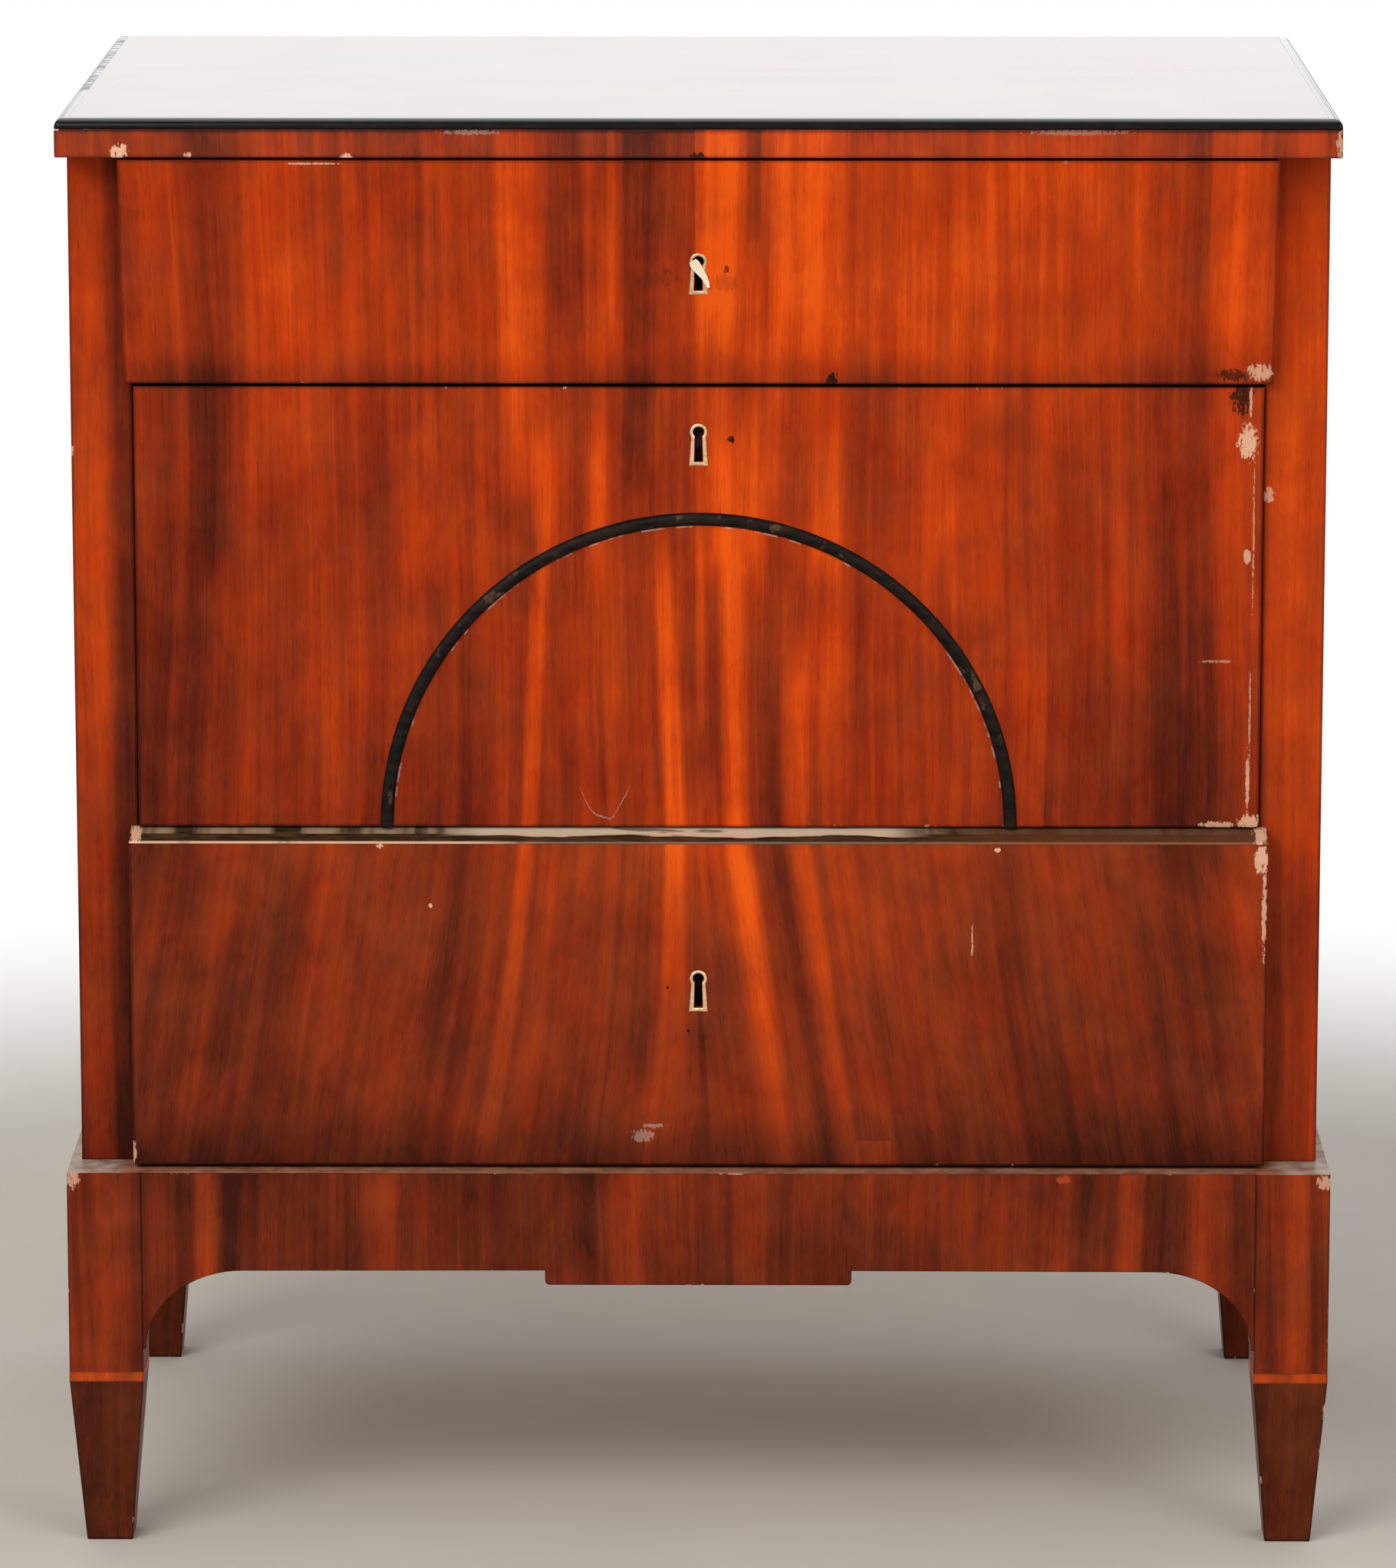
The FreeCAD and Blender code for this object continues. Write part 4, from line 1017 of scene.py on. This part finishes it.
def veneer_sheet(name, low, high):
    """A sheet from the keyhole's outline to a rectangle in x and z, with its rim rounded to the back."""
    centre = np.array([0, KEY_Z[name]])
    corner_angles = [np.arctan2(x, centre[1] - z) for x in (low[0], high[0]) for z in (low[1], high[1])]
    angle = np.unique(np.concatenate([key_angles(plate_shape), corner_angles]))
    sideways, down = np.sin(angle), -np.cos(angle)
    reach_x = np.where(sideways > 0, high[0], low[0]) / np.where(np.abs(sideways) < TINY, TINY, sideways)
    edge_z = np.where(down > 0, high[1], low[1]) - centre[1]
    reach_z = edge_z / np.where(np.abs(down) < TINY, TINY, down)
    rim = rays(angle, np.minimum(np.abs(reach_x), np.abs(reach_z)), centre)
    hole = rays(angle, key_reach(plate_shape, angle), centre)
    arc = np.linspace(0, QUARTER, ARC_STEPS)
    insets = np.concatenate([[ROUND + WEAR_BAND], ROUND - ROUND * np.sin(arc), [0, 0]])
    depths = np.concatenate([[0], ROUND - ROUND * np.cos(arc), [ROUND + WEAR_BAND, SHEET]])
    rings = [(hole, SHEET, 0), (hole, 0, 0)]
    for inset, depth, worn in zip(insets, depths, [0] + [1] * ARC_STEPS + [0, 0]):
        rings.append((np.clip(rim, np.add(low, inset), np.subtract(high, inset)), depth, worn))
    solid = np.stack([np.stack([flat[:, 0], face_y(name, flat[:, 1]) - PROUD + depth, flat[:, 1]], -1)
                      for flat, depth, worn in rings])
    points, faces = stack(solid, joined=True)
    return points, faces, np.repeat([worn for flat, depth, worn in rings], len(angle)).astype(float)


print("a sheet stands", PROUD, "metres proud and is", SHEET, "metres deep")

# %% The three sheets
# The top sheet leans: its foot stands a little before the stiles and its head well before them.
FOOT_Z, HEAD_Z, FOOT_OUT, HEAD_OUT = 796.7 * mm, 950 * mm, 8 * mm, 43 * mm
BOTTOM_FACE_TOP = 487 * mm
drawer_box = {name: corners_of(name + "_drawer_front") for name in drawer_finish}
half_wide = drawer_box["top"][1][0]
middle_low, middle_high = drawer_box["middle"]
bottom_low = drawer_box["bottom"][0]
stile_face = corners_of("stile_left")[0][1]
faces_at = {
    "top": ((stile_face - FOOT_OUT, FOOT_Z), (stile_face - HEAD_OUT, HEAD_Z)),
    "middle": ((middle_low[1], 0), (middle_low[1], 1)),
    "bottom": ((bottom_low[1], 0), (bottom_low[1], 1)),
}
spans = {
    "top": ((-half_wide, FOOT_Z), (half_wide, HEAD_Z)),
    "middle": (middle_low[[0, 2]], middle_high[[0, 2]]),
    "bottom": ((-half_wide, bottom_low[2]), (half_wide, BOTTOM_FACE_TOP)),
}
for name, (low, high) in spans.items():
    put(name + "_veneer", [veneer_sheet(name, np.subtract(low, OUTSET), np.add(high, OUTSET))],
        name + "_drawer", drawer_finish[name])

# %% [markdown]
# ## Brass keyhole frames
# Each keyhole has a narrow cast frame of brass, let in almost flush, its front rubbed to a soft crown.
# Across the top one hangs a strip of thin brass, bent, perhaps what is left of a small cover.

# %% Escutcheons
LET_IN, CROWN, PLATE_THICK, PLATE_GAP = 0.2 * mm, 0.35 * mm, 4 * mm, 0.1 * mm
CROWN_POINTS = 7


def escutcheon(name):
    """A frame between the hole's outline and the plate's: share s from hole to plate, and a crown
    of height h (1 - (2 s - 1) to the fourth)."""
    angle = key_angles(plate_shape, hole_shape)
    centre = np.array([0, KEY_Z[name]])
    inner, outer = key_reach(hole_shape, angle), key_reach(plate_shape, angle) - PLATE_GAP
    share = np.linspace(0, 1, CROWN_POINTS)
    rise = CROWN * (1 - (2 * share - 1) ** 4)
    share = np.concatenate([[0], share, [1]])
    depth = np.concatenate([[PLATE_THICK], LET_IN - rise, [PLATE_THICK]])
    reach = inner + share[:, None] * (outer - inner)
    flat = rays(angle, reach, centre[:, None, None])
    y = face_y(name, flat[..., 1]) - PROUD + depth[:, None]
    points, faces = stack(np.stack([flat[..., 0], y, flat[..., 1]], -1), joined=True)
    return points, faces, np.repeat((depth < 0).astype(float), len(angle))


# Stations of the bent strip, from its top: x, z from the round's centre, and half width.
COVER = np.array([[-3.8, 0.8, 2.6], [-2.3, -1.6, 3.4], [0.7, -5.9, 2.9],
                  [3.8, -10.2, 2.1], [5.8, -14.2, 1.5], [6.8, -17.5, 1.0]]) * mm
COVER_THICK, COVER_SPRING, COVER_GAP = 0.5 * mm, 1.8 * mm, 0.1 * mm


def bent_cover():
    """A strip through the stations, square to its run. It lies just proud of the frame at its top and
    springs away by s squared times a small distance, with s the share of its length."""
    run = np.gradient(COVER[:, :2], axis=0)
    run /= np.linalg.norm(run, axis=1)[:, None]
    side = np.stack([run[:, 1], -run[:, 0]], -1) * COVER[:, 2:]
    middle = COVER[:, :2] + [0, KEY_Z["top"]]
    flat = np.stack([middle - side, middle + side, middle + side, middle - side], 1)
    spring = np.linspace(0, 1, len(COVER)) ** 2 * COVER_SPRING
    lift = np.array([0, 0, 1, 1]) * COVER_THICK + COVER_GAP + spring[:, None]
    y = face_y("top", flat[..., 1]) - PROUD - lift
    points, faces = stack(np.stack([flat[..., 0], y, flat[..., 1]], -1))
    return points, faces, np.zeros(len(points))


cover = bent_cover()
for name in drawer_finish:
    shells = [escutcheon(name), cover] if name == "top" else [escutcheon(name)]
    plate = put(name + "_escutcheon_dressed", shells, name + "_drawer", brass_finish,
                [name + "_escutcheon"])
    if name == "top":
        # The bent strip takes the near white brass, a painted highlight.
        plate.data.materials.append(highlight_brass)
        for face in plate.data.polygons[-len(cover[1]):]:
            face.material_index = 1

# %% [markdown]
# ## Arch and ledge
# The arch on the middle drawer is a half-round strip of black wood bent to a semicircle. The ledge on top
# of the bottom drawer is black too, with dust along its rear and a bare arris where hands push it shut.

# %% Arch moulding
# The section is a half round on a sunk foot. A slight ripple, two sines along the sweep, keeps the
# light on it uneven, as on wood that was bent by hand.
ARCH_RADIUS, ARCH_WIDTH, ARCH_PROUD, ARCH_SUNK = 214.8 * mm, 9 * mm, 3.8 * mm, 2 * mm
ARCH_CREST = 0.8
sweep = np.linspace(0, 2 * QUARTER, 97)
swing = np.linspace(0, 2 * QUARTER, 11)
half_width = ARCH_WIDTH / 2
ripple = 1 + 0.03 * np.sin(sweep * 23) + 0.02 * np.sin(sweep * 57 + 1)
across_strip = np.concatenate([half_width * np.cos(swing), [-half_width, half_width]])
out_of_face = np.concatenate([ARCH_PROUD * np.sin(swing), [-ARCH_SUNK, -ARCH_SUNK]])
radius = ARCH_RADIUS - half_width + across_strip
arch = np.stack([np.outer(np.cos(sweep), radius), middle_low[1] - np.outer(ripple, out_of_face),
                 middle_low[2] + np.outer(np.sin(sweep), radius)], -1)
arch_points, arch_faces = stack(arch)
arch_worn = np.tile((out_of_face > ARCH_CREST * ARCH_PROUD).astype(float), len(sweep))
put("arch_dressed", [(arch_points, arch_faces, arch_worn)], "middle_drawer", arch_finish,
    ["arch_moulding"])

# %% Ledge of the bottom drawer
LEDGE_DEEP, LEDGE_PROUD = 12.5 * mm, 0.2 * mm
LEDGE_CHIP_Z, LEDGE_CHIPS = 490, ((-380, 5, 6), (379, 6, 6))
MIDDLE_OF_WEAR, WORN_X = -0.01, (0.13, 0.17)
FLECK_WAVES, SWIRL_WAVES, DASH_WAVES = (60, 240, 240), (14, 90, 1), 45
ledge_front = bottom_low[1] - PROUD - LEDGE_PROUD
ledge = Finish("ledge", Specular_IOR_Level=0.15)
x, y, z = ledge.place()
share = (y - ledge_front) / LEDGE_DEEP
flecks = ledge.noise((x, y, z), FLECK_WAVES, detail=4.0)
patches = ledge.noise((x, y, 0.0), SWIRL_WAVES, detail=5.0)
dashes = ledge.noise((x, 0.0, 0.0), DASH_WAVES, detail=3.0)
# The stain is thin in flecks, and browner to the right.
colour = ledge.blend(flecks.ease(0.3, 0.7), seen(34, 26, 14), seen(78, 56, 34))
colour = ledge.blend(x.ease(0.14, 0.24) * 0.85, colour, seen(98, 58, 34))
# Pale dashes along the rear are painted glare, a reflection on the slope there; dust swirls over the middle
# third with a dark stain.
rear = share.ease(0.92, 0.97) * dashes.ease(0.4, 0.56) * (1 - x.ease(0.1, 0.2) * 0.85)
colour = ledge.blend(rear * 0.6, colour, seen(196, 160, 128))
middle_third = 1 - abs(x - MIDDLE_OF_WEAR).ease(*WORN_X)
swirl = (patches + share * 0.6).ease(0.9, 0.96) * middle_third
colour = ledge.blend(swirl * 0.9, colour, seen(222, 198, 170))
stain = patches.ease(0.4, 0.36) * middle_third
colour = ledge.blend(stain * 0.7, colour, seen(66, 26, 22))
# The front arris is bare: pale at the left end, darker along the middle and red-brown on the right.
arris = ledge.blend(x.ease(-0.16, -0.1), seen(220, 176, 142), seen(118, 92, 74))
arris = ledge.blend(x.ease(0.1, 0.2), arris, seen(136, 82, 50))
rubbed = (1 - share.ease(0.02, 0.08)) * dashes.ease(0.24, 0.44)
colour = ledge.blend(rubbed * 0.9, colour, arris)
for chip_x, reach_x, reach_z in LEDGE_CHIPS:
    chip = ragged(ledge, x, z, chip_x, LEDGE_CHIP_Z, reach_x, reach_z)
    colour = ledge.blend(chip * 0.9, colour, PALE_WOOD)
ledge.feed("Base Color", colour)
ledge.feed("Roughness", flecks * 0.2 + 0.4)
ledge.bump(flecks, strength=0.2, distance=0.2 * mm)
print("the ledge's finish is", ledge.material.name)

# %% Strip on the ledge
# Its section, from the front: a low edge, a rounded nose, the slope up to the rear, and back below.
NOSE, EDGE_DOWN, NOSE_UP, REAR_GAP = 1.6 * mm, 1.0 * mm, 0.9 * mm, 0.3 * mm
REAR_TOP, REAR_FOOT, FOOT_IN = 493.4 * mm, 489 * mm, 4 * mm
STATIONS = 60
ledge_back = stile_face - REAR_GAP
nose = np.linspace(2 * QUARTER, QUARTER, 6)
section_y = np.concatenate([[ledge_front], ledge_front + NOSE + NOSE * np.cos(nose),
                            [ledge_back, ledge_back, ledge_front + FOOT_IN]])
edge_z, nose_z = BOTTOM_FACE_TOP - EDGE_DOWN, BOTTOM_FACE_TOP + NOSE_UP - NOSE
section_z = np.concatenate([[edge_z], nose_z + NOSE * np.sin(nose), [REAR_TOP, REAR_FOOT, edge_z]])
along = np.linspace(-half_wide - OUTSET, half_wide + OUTSET, STATIONS)
ledge_rings = np.stack(np.broadcast_arrays(along[:, None], section_y, section_z), -1)
ledge_points, ledge_faces = stack(ledge_rings)
put("ledge_strip", [(ledge_points, ledge_faces, np.zeros(len(ledge_points)))],
    "bottom_drawer", ledge.material)

# %% [markdown]
# ## Stand
# The stand's boards end in brackets that curve into the legs, and the front one has a shallow tablet
# below its middle. Board and brackets were veneered as one, so each visible face is one outline: it goes
# along the top, down beside the leg, up the hollow of a quarter ellipse and along the foot.

# %% A bracket's hollow
BRACKET_REACH, BRACKET_FALL, BRACKET_TOE, BRACKET_EDGE = 66 * mm, 55 * mm, 2 * mm, 0.5 * mm
hollow = np.linspace(0, QUARTER, 20)


def bracket_curve(end, foot):
    """From the heel beside a leg to the tip below a board, on the side where x or y is highest:
    a quarter ellipse, reach (1 - cos a) in and fall sin a up."""
    out = end - BRACKET_TOE - BRACKET_REACH * (1 - np.cos(hollow))
    up = foot - BRACKET_EDGE - BRACKET_FALL * (1 - np.sin(hollow))
    heel = [[end, foot - BRACKET_FALL - BRACKET_EDGE]]
    return np.concatenate([heel, np.stack([out, up], -1)])


def mirrored(points, middle=0.0):
    """The same points on the other side of a middle."""
    return points * [-1, 1] + [2 * middle, 0]


print("a bracket reaches", BRACKET_REACH, "metres in and", BRACKET_FALL, "metres down")

# %% Front board of the stand
# The front outline runs from the left heel along the foot, by the tablet, to the right one, and back
# along the top. The board behind it has the same foot without the hollows.
BRACKET_THICK, APRON_TALL = 24 * mm, 68 * mm
TABLET_HALF, TABLET_CORNER = 104 * mm, 3 * mm
apron_low, apron_high = corners_of("front_apron")
apron_foot = apron_high[2] - APRON_TALL
bend = np.linspace(0, QUARTER, 6)
tablet_round = np.stack([TABLET_HALF - TABLET_CORNER + TABLET_CORNER * np.cos(bend),
                         apron_low[2] + TABLET_CORNER - TABLET_CORNER * np.sin(bend)], -1)
tablet = np.concatenate([[[TABLET_HALF, apron_foot]], tablet_round])
tablet = np.concatenate([mirrored(tablet), tablet[::-1]])
right_hollow = bracket_curve(apron_high[0], apron_foot)
top_line = np.array([[apron_high[0], apron_high[2]], [apron_low[0], apron_high[2]]])
front_outline = np.concatenate([mirrored(right_hollow), tablet, right_hollow[::-1], top_line])
left_end, right_end = [[apron_low[0], apron_foot]], [[apron_high[0], apron_foot]]
plain_outline = np.concatenate([left_end, tablet, right_end, top_line])
front, split = apron_low[1], apron_low[1] + BRACKET_THICK
put("front_board", [outlined_board(front_outline, front, split, 1, (LIP, FINE)),
                    outlined_board(plain_outline, split - SUNK, apron_high[1], 1, (FINE, LIP))],
    "case", stand_finish, ["front_apron", "front_bracket_left", "front_bracket_right"])

# %% Side and back boards of the stand
BACK_LIP = 0.8 * mm
for side, word in SIDES:
    low, high = corners_of("side_apron_" + word)
    rear_hollow = bracket_curve(high[1], low[2])
    fore_hollow = mirrored(rear_hollow, (low[1] + high[1]) / 2)
    top_line = np.array([[high[1], high[2]], [low[1], high[2]]])
    outline = np.concatenate([fore_hollow, rear_hollow[::-1], top_line])
    face, inner = (low[0], high[0]) if side == LEFT else (high[0], low[0])
    split = face - side * BRACKET_THICK
    lips = (LIP, FINE) if side == LEFT else (FINE, LIP)
    outer_shell = outlined_board(outline, min(face, split), max(face, split), 0, lips)
    inner_low, inner_high = (min(split, inner), *low[1:]), (max(split, inner), *high[1:])
    inner_shell = board(inner_low, inner_high, FINE, (FINE, FINE))
    put("side_board_" + word, [outer_shell, inner_shell], "case", stand_finish,
        ["side_apron_" + word, "side_brackets_" + word])
low, high = corners_of("back_apron")
put("back_board_of_stand", [board(low, high, BACK_LIP, (BACK_LIP, BACK_LIP), axis=1)],
    "case", pine_finish, ["back_apron"])

# %% [markdown]
# ## Legs
# A leg is square down to an inlaid band, and below it tapers on all four sides. It is one stack of
# square rings whose half width changes with height; the band is a thin block a hair wider than the leg.

# %% Legs and bands
TIP_HALF, TAPER, BAND_TALL, LEG_ROUND, HAIR = 15.5 * mm, 114.5 * mm, 7 * mm, 0.25 * mm, 0.15 * mm
TIP_STREAKS = [(404, 18, 0.08)]
tip_finish = mahogany("mahogany_leg_foot", 23.0, 0.21, TIP_STREAKS, wear=0.6, fine=0.5, brown=0.8)


def square_leg(low, high):
    """Rings of half width w(z): the tip's at the floor, the full one from the band up, straight between."""
    centre, half = (low[:2] + high[:2]) / 2, (high[0] - low[0]) / 2
    tip, shank = ROUND, high[2] - FINE
    arc = np.linspace(0, QUARTER, ARC_STEPS)
    heights = np.concatenate([[0], tip - tip * np.cos(arc), [tip + WEAR_BAND, TAPER, shank, high[2]]])
    insets = np.concatenate([[tip + WEAR_BAND], tip - tip * np.sin(arc), [0, 0, 0, FINE]])
    worn = np.concatenate([[0], np.ones(ARC_STEPS), [0, 0, 0, 0]])
    widths = np.interp(heights, [0, TAPER], [TIP_HALF, half])
    rings = []
    for height, inset, width in zip(heights, insets, widths):
        flat = rectangle_ring(centre - width, centre + width, LEG_ROUND, inset)
        rings.append(np.column_stack([flat, np.full(len(flat), height)]))
    points, faces = stack(rings)
    return points, faces, np.maximum(worn[:, None], (insets <= FINE)[:, None] * RING_WORN).ravel()


bands = []
for node in ("front_leg_left", "front_leg_right", "back_leg_left", "back_leg_right"):
    low, high = corners_of(node)
    leg = put(node + "_dressed", [square_leg(low, high)], "case", stand_finish, [node])
    leg.data.materials.append(tip_finish)
    below = np.array([face.center.z < TAPER for face in leg.data.polygons])
    leg.data.polygons.foreach_set("material_index", below.astype(np.int32))
    band_low = np.array([low[0] - HAIR, low[1] - HAIR, TAPER])
    band_high = np.array([high[0] + HAIR, high[1] + HAIR, TAPER + BAND_TALL])
    bands.append(board(band_low, band_high, LEG_ROUND, (HAIR, HAIR)))
put("leg_bands_dressed", bands, "case", inlay_finish, ["leg_bands"])
